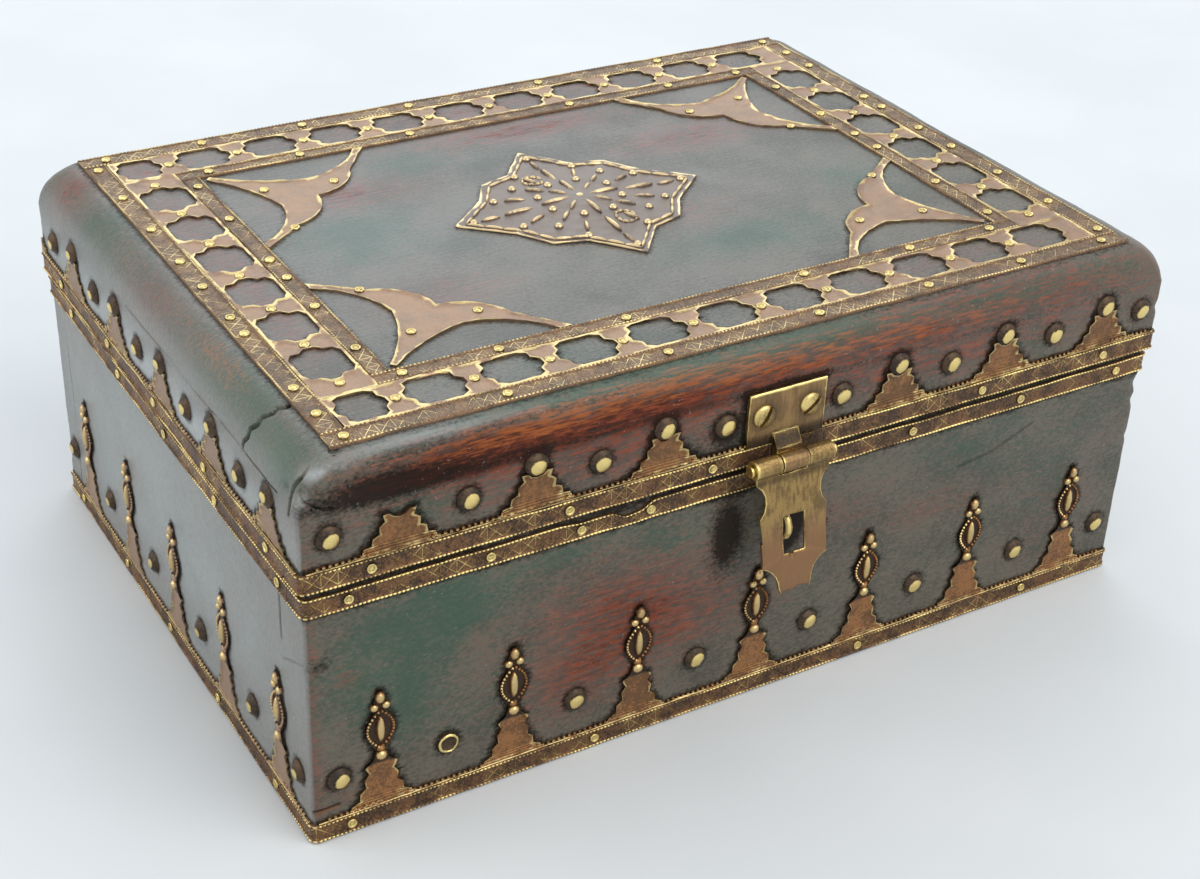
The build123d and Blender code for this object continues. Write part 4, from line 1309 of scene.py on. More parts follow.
@dataclass
class LidPanel:
    """Flat panel of the lid with rubbed paint."""

    half_x: float = 125.45
    half_y: float = 90.45
    underside: float = 108.6
    step: float = 1.05

    def build(self, paint: PaintPlan, dress: bpy.types.Material) -> bpy.types.Object:
        """Grids the top, lets it undulate a little and closes it underneath.

        Args:
            paint: where the coats are.
            dress: the paint's material.

        Returns:
            The finished piece.
        """
        piece = Workpiece(PAINT_VALUES)
        across, deep = round(2 * self.half_x / self.step), round(2 * self.half_y / self.step)
        bmesh.ops.create_grid(piece.mesh, x_segments=across, y_segments=deep, size=0.5)
        for vert in piece.mesh.verts:
            place = Vector((2 * self.half_x * vert.co.x, 2 * self.half_y * vert.co.y, LID_TOP))
            edge = min(self.half_x - abs(place.x), self.half_y - abs(place.y))
            lumps = 0.12 * drift(place, 30, 5) + 0.06 * drift(place, 8, 2) - 0.1
            vert.co = place + Vector((0, 0, lumps * ramp(edge, 0, 8)))
        edges = [edge for edge in piece.mesh.edges if edge.is_boundary]
        made = bmesh.ops.extrude_edge_only(piece.mesh, edges=edges)["geom"]
        for vert in (item for item in made if isinstance(item, bmesh.types.BMVert)):
            vert.co.z = self.underside
        rim = [edge for edge in piece.mesh.edges if edge.is_boundary]
        bmesh.ops.holes_fill(piece.mesh, edges=rim)
        bmesh.ops.recalc_face_normals(piece.mesh, faces=piece.mesh.faces)
        paint.colour(piece)
        return piece.finish("lid_panel", Body.LID, Slot.PAINT, dress, ("lid_top_panel",), 50.0)


@dataclass(frozen=True)
class Notch:
    """A dent in one edge of a strip."""

    centre: float
    half_length: float
    depth: float
    lower_edge: bool
    ramp_length: float = 3.0

    def at(self, run: float) -> float:
        """How deep the dent is at a place along the strip."""
        gap = abs(run - self.centre) - self.half_length
        return self.depth * (1 - ramp(gap, 0.0, self.ramp_length))


@dataclass
class StraightCourse:
    """Line that a flat strip follows."""

    start: Vector
    along: Vector
    outward: Vector
    across: Vector
    length: float

    def at(self, run: float) -> tuple[Vector, Vector, Vector]:
        """Point, outward and across directions at a distance along the line."""
        return self.start + self.along * run, self.outward, self.across


@dataclass
class TurnedCourse:
    """Line round the front or back wall and a short way along both side walls."""

    half_x: float
    half_y: float
    height: float
    returned: float
    back: bool
    radius: float = CORNER_RADIUS

    @property
    def legs(self) -> tuple[float, float, float]:
        """Lengths of a side leg, a corner and the long leg."""
        return (self.returned - self.radius, self.radius * math.pi / 2, 2 * (self.half_x - self.radius))

    @property
    def length(self) -> float:
        """Whole length."""
        leg, corner, span = self.legs
        return 2 * leg + 2 * corner + span

    def at(self, run: float) -> tuple[Vector, Vector, Vector]:
        """Place on the line.

        Args:
            run: distance from the line's start.

        Returns:
            Point, outward and across directions there.
        """
        leg, corner, span = self.legs
        x_mid, y_mid = self.half_x - self.radius, self.half_y - self.radius
        if run < leg:
            flat, out = Vector((-self.half_x, -y_mid + leg - run, 0)), Vector((-1, 0, 0))
        elif run < leg + corner:
            turn = (run - leg) / self.radius
            out = Vector((-math.cos(turn), -math.sin(turn), 0))
            flat = Vector((-x_mid, -y_mid, 0)) + self.radius * out
        elif run < leg + corner + span:
            flat, out = Vector((-x_mid + run - leg - corner, -self.half_y, 0)), Vector((0, -1, 0))
        elif run < leg + 2 * corner + span:
            turn = (run - leg - corner - span) / self.radius
            out = Vector((math.sin(turn), -math.cos(turn), 0))
            flat = Vector((x_mid, -y_mid, 0)) + self.radius * out
        else:
            flat = Vector((self.half_x, -y_mid + run - leg - 2 * corner - span, 0))
            out = Vector((1, 0, 0))
        if self.back:
            flat, out = Vector((-flat.x, -flat.y, 0)), Vector((-out.x, -out.y, 0))
        flat.z = self.height
        return flat, out, Vector((0, 0, 1))


@dataclass
class EmbossedStrip:
    """Brass strip with a row of pearls along each edge and a crossed pattern between them."""

    name: str
    body: Body
    course: StraightCourse | TurnedCourse
    width: float
    seed: float
    stands_for: tuple[str, ...]
    notches: tuple[Notch, ...] = ()
    brightness: float = 0.9
    wear: float = 0.5
    wobble: float = 0.3
    step: float = 0.3
    pearl: float = 1.2
    pearl_height: float = 0.42
    edge_rows: float = 1.7

    def section(self) -> list[tuple[float, float, float]]:
        """Cross-section round the strip: place across, base height and share of pearl.

        Returns:
            The section's points in order.
        """
        edge = [(0.0, 0.02, 0.0), (0.08, 0.36, 0.3), (0.24, 0.48, 0.85), (0.42, 0.5, 1.0),
                (0.6, 0.46, 0.85), (0.78, 0.36, 0.1)]
        inner = [(self.width * share, 0.42, 0.0) for share in (0.3, 0.5, 0.7)]
        mirrored = [(self.width - place, height, pearl) for place, height, pearl in reversed(edge)]
        under = [(self.width, -SINK, 0.0), (0.0, -SINK, 0.0)]
        return edge + inner + mirrored + under

    def build(self, dress: bpy.types.Material) -> bpy.types.Object:
        """Sweeps the section along the course, with pearls, wobbles and dents.

        Args:
            dress: the strip's material.

        Returns:
            The finished piece.
        """
        piece = Workpiece(("worn", "run", "across"))
        section = self.section()
        count = round(self.course.length / self.step)
        bmesh.ops.create_grid(piece.mesh, x_segments=count, y_segments=len(section), size=0.5)
        worn, run_value, across_value = (piece.layers[name] for name in ("worn", "run", "across"))
        for vert in piece.mesh.verts:
            run = (vert.co.x + 0.5) * self.course.length
            place, height, pearl = section[round((vert.co.y + 0.5) * len(section)) % len(section)]
            origin, outward, across = self.course.at(run)
            upper = place > self.width / 2
            low_edge, high_edge = 0.0, self.width
            low_edge += self.wobble * noise.noise(Vector((run / 14, self.seed, 0)))
            high_edge += self.wobble * noise.noise(Vector((run / 14, self.seed, 9)))
            for notch in self.notches:
                if notch.lower_edge:
                    low_edge += notch.at(run)
                else:
                    high_edge -= notch.at(run)
            share = place / self.width
            across_place = low_edge + (high_edge - low_edge) * share
            bead = math.sqrt(abs(math.sin(math.pi * run / self.pearl)))
            row = 5.0 if upper else 0.0
            rub = noise.noise(Vector((run / 22, self.seed + row, 3))) * 1.6
            rub += 0.5 * noise.noise(Vector((run / 5, self.seed + row, 6)))
            flat = ramp(rub, 0.75, 1.3) * 0.25
            lift = height + (self.pearl_height - flat) * pearl * bead
            vert.co = origin + across * across_place + outward * lift
            vert[worn] = max(0.0, self.brightness + self.wear * rub) * pearl * (0.2 + 0.8 * bead)
            vert[run_value] = run
            vert[across_value] = (share - 0.5) * 2 * self.width / (self.width - self.edge_rows)
        bmesh.ops.remove_doubles(piece.mesh, verts=piece.mesh.verts, dist=0.0005)
        ends = [edge for edge in piece.mesh.edges if edge.is_boundary]
        bmesh.ops.holes_fill(piece.mesh, edges=ends)
        bmesh.ops.recalc_face_normals(piece.mesh, faces=piece.mesh.faces)
        return piece.finish(self.name, self.body, Slot.STRIP, dress, self.stands_for, 75.0)


@dataclass
class StripWork:
    """All the embossed strips: foot, rim, lid edge and the two frames on the lid's top."""

    returned: float = 9.0
    wall_width: float = 5.9
    outer_width: float = 6.8
    inner_width: float = 5.6
    joint: float = 0.15
    top_brightness: float = 0.74
    left_side_painted_shade: float = 0.75
    hinge_places: tuple[float, float] = (-88.0, 88.0)

    def wall_strips(self, name: str, body: Body, half_x: float, half_y: float, height: float,
                    seed: float, brightness: float,
                    notches: dict[Side, tuple[Notch, ...]]) -> list[EmbossedStrip]:
        """Four strips of one course round the walls.

        Args:
            name: first part of the nodes' names.
            body: body that they ride on.
            half_x: half the walls' width.
            half_y: half the walls' depth.
            height: height of the strips' lower edge.
            seed: start of their wear and wobble.
            brightness: how bright their pearls are.
            notches: their dents by side.

        Returns:
            The strips.
        """
        strips = []
        for side in Side:
            if side in (Side.FRONT, Side.BACK):
                course = TurnedCourse(half_x, half_y, height, self.returned, side is Side.BACK)
            else:
                wall = Wall(side, half_x, half_y)
                reach = half_y - self.returned - self.joint
                start = wall.at(-reach, height, 0)
                along = (wall.at(reach, height, 0) - start).normalized()
                outward = wall.at(0, 0, 1) - wall.at(0, 0, 0)
                course = StraightCourse(start, along, outward, Vector((0, 0, 1)), 2 * reach)
            node = f"{name}_{side.value}"
            # Pearls on the left wall are dimmed: painted shade of that side.
            shine = brightness * (self.left_side_painted_shade if side is Side.LEFT else 1.0)
            strips.append(EmbossedStrip(f"embossed_{node}", body, course, self.wall_width,
                                        seed + 3.7 * list(Side).index(side), (node,),
                                        notches.get(side, ()), shine))
        return strips

    def top_strips(self, name: str, half_x: float, half_y: float, width: float,
                   seed: float) -> list[EmbossedStrip]:
        """Four strips of one frame on the lid's top.

        Args:
            name: first part of the nodes' names.
            half_x: half the frame's width.
            half_y: half the frame's depth.
            width: width of a strip.
            seed: start of their wear and wobble.

        Returns:
            The strips.
        """
        up = Vector((0, 0, 1))
        between = half_y - width - self.joint
        starts = {
            Side.FRONT: (Vector((-half_x, -half_y, LID_TOP)), Vector((1, 0, 0)), half_x),
            Side.BACK: (Vector((half_x, half_y, LID_TOP)), Vector((-1, 0, 0)), half_x),
            Side.LEFT: (Vector((-half_x, between, LID_TOP)), Vector((0, -1, 0)), between),
            Side.RIGHT: (Vector((half_x, -between, LID_TOP)), Vector((0, 1, 0)), between),
        }
        strips = []
        for index, (side, (start, along, half)) in enumerate(starts.items()):
            course = StraightCourse(start, along, up, up.cross(along), 2 * half)
            node = f"{name}_{side.value}"
            strips.append(EmbossedStrip(f"embossed_{node}", Body.LID, course, width, seed + 2.9 * index,
                                        (node,), brightness=self.top_brightness))
        return strips

    def build(self, dress: bpy.types.Material, sheened_top_dress: bpy.types.Material) -> None:
        """Makes every strip, with dents for the hinges and for the blow that the rim took.

        Args:
            dress: material of the strips on the walls.
            sheened_top_dress: material of the ones on the lid's top, paler for painted sheen.
        """
        back_run = self.returned - CORNER_RADIUS + CORNER_RADIUS * math.pi / 2 - CORNER_RADIUS
        rim_gaps = tuple(Notch(back_run + CASE_HALF_X + x, 19.6, 2.1, False, 0.6)
                         for x in self.hinge_places)
        lid_gaps = tuple(Notch(back_run + LID_HALF_X + x, 19.6, 2.1, True, 0.6)
                         for x in self.hinge_places)
        blow = Notch(back_run + CASE_HALF_X - 45, 2.0, 2.0, False, 5.0)
        sag = Notch(back_run + CASE_HALF_X - 54, 6.0, 0.7, False, 8.0)
        strips = self.wall_strips("foot_strip", Body.CASE, CASE_HALF_X, CASE_HALF_Y, 0.5, 11.0, 0.8, {})
        strips += self.wall_strips("rim_strip", Body.CASE, CASE_HALF_X, CASE_HALF_Y, 73.7, 23.0, 1.0,
                                   {Side.BACK: rim_gaps, Side.FRONT: (blow, sag)})
        strips += self.wall_strips("lid_edge_strip", Body.LID, LID_HALF_X, LID_HALF_Y, 81.8, 37.0, 0.9,
                                   {Side.BACK: lid_gaps})
        for strip in strips:
            strip.build(dress)
        strips = self.top_strips("outer_strip", 129.0, 94.0, self.outer_width, 53.0)
        strips += self.top_strips("inner_strip", 105.8, 72.0, self.inner_width, 71.0)
        for strip in strips:
            strip.build(sheened_top_dress)


@dataclass(frozen=True)
class CrestRow:
    """Spacing of the points and nails along one crest."""

    wall: Wall
    base: float
    pitch: float
    shift: float
    ends: float = 14.0
    nail_inset: float = 8.0

    def points(self) -> list[float]:
        """Places of the points.

        Returns:
            Distances from the wall's middle.
        """
        limit = self.wall.half_length - CORNER_RADIUS - self.ends
        first = math.ceil((-limit - self.shift) / self.pitch)
        last = math.floor((limit - self.shift) / self.pitch)
        return [self.shift + self.pitch * index for index in range(first, last + 1)]

    def nails(self) -> list[float]:
        """Places of the nails in the arches.

        Returns:
            Distances from the wall's middle.
        """
        crowns = self.points()
        half = self.wall.half_length
        limit = half - self.nail_inset
        arches = [crowns[0] - self.pitch / 2] + [crown + self.pitch / 2 for crown in crowns]
        return [max(-limit, min(limit, arch)) for arch in arches if abs(arch) < half]


def crest_rows(body: Body) -> list[CrestRow]:
    """Rows of the lid or the case on all four sides.

    Args:
        body: the lid or the case.

    Returns:
        The four rows.
    """
    rows = []
    for side in Side:
        if body is Body.LID:
            pitch = 38.7 if side in (Side.FRONT, Side.BACK) else 37.3
            shift = {Side.FRONT: 2.0, Side.LEFT: 7.5}.get(side, 0.0)
            rows.append(CrestRow(Wall(side, LID_HALF_X, LID_HALF_Y), 87.85, pitch, shift))
        else:
            pitch = 39.7 if side in (Side.FRONT, Side.BACK) else 38.7
            shift = {Side.FRONT: -1.0, Side.LEFT: 2.0}.get(side, 0.0)
            rows.append(CrestRow(Wall(side, CASE_HALF_X, CASE_HALF_Y), 6.55, pitch, shift))
    return rows


@dataclass(frozen=True)
class CutSheet:
    """Sheet brass cut to an outline: a rubbed raised rim round a darker dished field."""

    edge: float = 0.3
    longest: float = 1.7
    dish: float = 0.32
    rim_width: float = 1.0
    rim_worn: float = 0.85
    tip_worn: float = 0.0
    field_worn: float = 0.1
    hammer: float = 0.14
    back_level: float = 0.2
    tip_angle: float = 2.0

    def dress_faces(self, piece: Workpiece, outward: Vector, face_level: float) -> None:
        """Beats the showing faces into a dish, leaves their rim up, and sinks the back into the wood.

        Args:
            piece: merged copy of the cut sheet.
            outward: direction that the showing faces look.
            face_level: distance of the wood's face from the origin along that direction.
        """
        def shows(face: bmesh.types.BMFace) -> bool:
            """Tells whether a face looks outwards and isn't the sheet's back."""
            over = face.calc_center_median().dot(outward) - face_level
            return face.normal.dot(outward) > 0.8 and over > self.back_level

        def points_out(vert: bmesh.types.BMVert) -> bool:
            """Tells whether a vertex is the point of a tooth."""
            angle = sum(loop.calc_angle() for loop in vert.link_loops if shows(loop.face))
            return 0 < angle < self.tip_angle

        rim = tree_of(piece.sharp_points(0.4, 0.6))
        tips = tree_of([vert.co.copy() for vert in piece.mesh.verts if points_out(vert)])
        bmesh.ops.inset_region(piece.mesh, faces=[face for face in piece.mesh.faces if shows(face)],
                               thickness=self.edge, use_even_offset=False, use_boundary=True)
        piece.refine(shows, self.longest)
        worn, soot = piece.layers["worn"], piece.layers["soot"]
        for vert in piece.mesh.verts:
            if vert.co.dot(outward) - face_level < self.back_level:
                vert.co -= outward * SINK
                vert[soot] = 0.6
                continue
            inward = ramp(rim.find(vert.co)[2], 0.15, self.rim_width)
            patchy = 1 + 1.2 * drift(vert.co, 4, 3)
            tip = self.tip_worn * bell(tips.find(vert.co)[2], 1.0)
            vert[worn] = max(tip, self.rim_worn * patchy * (1 - inward) + self.field_worn * inward)
            vert[soot] = 0.25 * max(0.0, drift(vert.co, 4, 9)) * inward
            vert.co += outward * (0.12 * (1 - inward) - self.dish * inward)
        piece.hammer(self.hammer, 3.0, 5.0)
        bmesh.ops.triangulate(piece.mesh, faces=piece.mesh.faces)
        bmesh.ops.recalc_face_normals(piece.mesh, faces=piece.mesh.faces)
        piece.settle()


@dataclass
class CrestWork:
    """Crests of the lid and the case, with beads along the arches and finials on the case's points."""

    sheet: CutSheet = CutSheet(rim_worn=0.75, tip_worn=1.2, field_worn=0.02, rim_width=0.7)
    case_soot: float = 0.85
    lid_soot: float = 0.36
    tip_rise: float = 13.6
    almond_height: float = 12.0
    almond_half_length: float = 6.2
    almond_half_width: float = 3.8
    pearls: int = 13

    def finial_parts(self) -> list[tuple[Pattern, float, float, float]]:
        """Relief of one finial: pattern, place across, height above the point, and turn.

        Returns:
            The parts of the relief.
        """
        upright = math.pi / 2
        parts = [
            (Pattern.pellet(1.8, 1.6, 1.6), 0.0, 3.4, 0.0),
            (Pattern.pellet(1.0, 1.3, 0.9, worn=0.5), 0.0, 5.5, upright),
            (Pattern.pellet(4.4, 1.25, 1.5), 0.0, self.almond_height, upright),
            (Pattern.pellet(1.3, 1.2, 1.1), -1.7, 19.5, 0.0),
            (Pattern.pellet(1.3, 1.2, 1.1), 1.7, 19.5, 0.0),
            (Pattern.pellet(1.9, 1.5, 1.4, worn=0.8), 0.0, 22.4, upright),
        ]
        bright = Pattern.pellet(0.5, 0.5, 0.8, 1, 0.9)
        dull = Pattern.pellet(0.5, 0.5, 0.8, 1, 0.35)
        for step in range(self.pearls):
            share = 2 * (step + 0.5) / self.pearls - 1
            aside = self.almond_half_width * (1 - share * share)
            rise = self.almond_height + self.almond_half_length * share
            parts.append((bright, -aside, rise, 0.0))
            parts.append((dull, aside, rise, 0.0))
        return parts

    def build(self, body: Body, dress: bpy.types.Material) -> None:
        """Makes the crests of one body.

        Args:
            body: the lid or the case.
            dress: their material.
        """
        finial = self.finial_parts()
        bead = Pattern.pellet(0.55, 0.5, 0.6, 1, 0.4)
        for row in crest_rows(body):
            side = row.wall.side
            node = f"{body.value}_crest_{side.value}"
            piece = Workpiece.copy_of(node, BRASS_VALUES)
            outward = row.wall.at(0, 0, 1) - row.wall.at(0, 0, 0)
            level = row.wall.half_y if side in (Side.FRONT, Side.BACK) else row.wall.half_x
            self.sheet.dress_faces(piece, outward, level)
            soot = piece.layers["soot"]
            for vert in piece.mesh.verts:
                on_finial = self.case_soot * ramp(vert.co.z - row.base, 13.0, 15.0)
                vert[soot] = max(vert[soot], on_finial if body is Body.CASE else self.lid_soot)
            if body is Body.CASE:
                foot = row.base + self.tip_rise
                for point in row.points():
                    for pattern, aside, rise, turn in finial:
                        piece.stamp(pattern, row.wall.placing(point + aside, foot + rise, 0.3, turn))
            for arch in row.nails():
                for step in range(-6, 7):
                    along = arch + step * 1.7
                    if abs(along) < row.wall.half_length - 3:
                        piece.stamp(bead, row.wall.placing(along, row.base + 0.9, 0.3))
            # Left crests take a paler tone: painted sheen of the left side.
            if side is Side.LEFT:
                piece.set_value("blush", lambda point: 0.7)
            piece.set_value("run", lambda point: point.z - row.base)
            piece.set_value("across", lambda point: 1 - ramp(point.z - row.base, 3.0, 3.6))
            piece.finish(f"cut_{node}", body, Slot.CREST, dress, (node,), 35.0)


@dataclass
class NailWork:
    """Domed nails of the walls and flat nails of the strips, border and spandrels."""

    radius: float = 3.3
    height: float = 1.9
    sunk: float = -0.3
    lid_edge_front: tuple = (-122, -65.5, -21, 73, 120)
    rim_front: tuple = (-128, -88, -61, -39.5, 49.5, 90, 128)
    foot_front: tuple = (-129, -54, 39, 104)
    outer_side: tuple = (84, 62, 38, 15, -2, -22, -32, -64, -78)
    outer_end: tuple = (-124, -79, -31, 18, 56, 90, 121)
    inner_side: tuple = (60, 35, 5, -7, -26, -52)
    inner_end: tuple = (-98, -70, -31, 28, 66, 96)
    border_pitch: float = 22.2
    spandrel: tuple = ((88, 22), (86, 50), (64.5, 47))

    def dome(self, least: float = 0.52) -> Pattern:
        """Domed head, rubbed bright on its crown, with a painted highlight on its lower side and a dark
        crust round its foot.

        Args:
            least: share of the height above which it is rubbed.

        Returns:
            The pattern.
        """
        profile = [(0, -SINK), (3.5, -SINK), (3.5, 0.1), (3.3, 0.35), (3.05, 0.65), (2.65, 1.0),
                   (2.05, 1.38), (1.35, 1.68), (0.65, 1.85), (0, self.height)]

        def rubbed(point: Vector) -> float:
            """More worn at the crown; brighter below it as a painted highlight."""
            lower = (0.5 * point.x - point.y) / self.radius
            return 1.1 * ramp(point.z / self.height + 0.16 * lower, least, least + 0.28)

        return Pattern.spun(profile, 18, rubbed)

    def crushed(self) -> Pattern:
        """Makes the head that was struck flat and left a ring.

        Returns:
            Its shape with the wear.
        """
        profile = [(0, -SINK), (3.2, -SINK), (3.2, 0.4), (2.9, 0.9), (2.5, 1.0), (2.1, 0.55),
                   (1.2, 0.35), (0, 0.5)]
        return Pattern.spun(profile, 20, lambda point: ramp(point.z, 0.5, 0.9))

    def flat(self) -> Pattern:
        """Makes the small flat head with a raised ring.

        Returns:
            Its shape with the wear.
        """
        profile = [(0, -SINK), (1.5, -SINK), (1.5, 0.7), (1.3, 0.98), (1.0, 0.92), (0.8, 0.74),
                   (0, 0.86)]
        return Pattern.spun(profile, 12, lambda point: ramp(point.z, 0.5, 0.9))

    def build_domes(self, body: Body, dress: bpy.types.Material, paint: PaintPlan) -> None:
        """Sets the domed nails of one body and stains the paint round them.

        Args:
            body: the lid or the case.
            dress: their material.
            paint: plan that takes the stains.
        """
        piece = Workpiece()
        dome, dull, crushed = self.dome(), self.dome(0.72), self.crushed()
        for row in crest_rows(body):
            rise = 8.8 if body is Body.LID else 13.0
            places = [(along, row.base + rise) for along in row.nails()]
            if body is Body.LID:
                for index, along in enumerate(row.points()):
                    front = row.wall.side is Side.FRONT
                    if front and (index == 0 or abs(along - 2.0) < 12):
                        continue
                    places.append((along, row.base + 13.3))
            for along, height in places:
                struck = body is Body.CASE and row.wall.side is Side.FRONT and abs(along + 100.25) < 2
                # On the left wall the heads are duller and turned so that their brighter side faces the
                # front: painted shade on that side.
                turn = 0.6 * math.sin(1.7 * along) + (0.9 if row.wall.side is Side.LEFT else 0.0)
                shape = crushed if struck else dull if row.wall.side is Side.LEFT else dome
                piece.stamp(shape, row.wall.placing(along, height, 0.0, turn))
                paint.stains.append((row.wall.at(along, height, 0), 4.6))
        piece.hammer(0.16, 1.6, 2.0)
        node = f"{body.value}_domed_nails"
        piece.finish(f"domes_on_{body.value}", body, Slot.NAIL, dress, (node,), 60.0)

    def top_places(self) -> list[tuple[float, float, float]]:
        """Places of the small nails on the lid's top.

        Returns:
            Their x and y, and how proud they stand.
        """
        quarter = [(-125.6, y) for y in self.outer_side] + [(x, -90.6) for x in self.outer_end]
        quarter += [(-103, y) for y in self.inner_side] + [(x, -69.2) for x in self.inner_end]
        places = [(way * x, way * y, 0.0) for x, y in quarter for way in (1, -1)]
        long_run = [-104.9 + self.border_pitch * index for index in range(10)]
        short_run = [-66.4 + self.border_pitch * index for index in range(7)]
        places += [(x, y, self.sunk) for x in long_run for y in (-79.6, 79.6)]
        places += [(x, y, self.sunk) for y in short_run for x in (-114, 114)]
        places += [(x_side * x, y_side * y, self.sunk)
                   for x_side, y_side in ((-1, -1), (1, -1), (1, 1), (-1, 1)) for x, y in self.spandrel]
        return places

    def build_flats(self, dress: bpy.types.Material) -> None:
        """Sets the small nails where the photograph shows them, and evenly where it shows none.

        Args:
            dress: their material.
        """
        flat = self.flat()
        on_lid, on_case = Workpiece(), Workpiece()
        lid_front = Wall(Side.FRONT, LID_HALF_X, LID_HALF_Y)
        case_front = Wall(Side.FRONT, CASE_HALF_X, CASE_HALF_Y)
        for piece, wall, height, row in ((on_lid, lid_front, 84.6, self.lid_edge_front),
                                         (on_case, case_front, 76.6, self.rim_front),
                                         (on_case, case_front, 3.4, self.foot_front)):
            for along in row:
                piece.stamp(flat, wall.placing(along, height))
        for side in (Side.BACK, Side.LEFT, Side.RIGHT):
            lid, case = Wall(side, LID_HALF_X, LID_HALF_Y), Wall(side, CASE_HALF_X, CASE_HALF_Y)
            for index in range(-3, 4):
                along = 41.0 * index + 3.0 * math.sin(5.0 * index)
                if abs(along) < lid.half_length - 5:
                    on_lid.stamp(flat, lid.placing(along, 84.9))
                    on_case.stamp(flat, case.placing(along + 4, 76.4))
                    on_case.stamp(flat, case.placing(along - 5, 3.4))
        for x, y, proud in self.top_places():
            on_lid.stamp(flat, top_placing(x, y, proud))
        for piece, body in ((on_lid, Body.LID), (on_case, Body.CASE)):
            piece.hammer(0.1, 1.0, 8.0)
            piece.finish(f"flat_nails_on_{body.value}", body, Slot.NAIL, dress, (), 50.0)


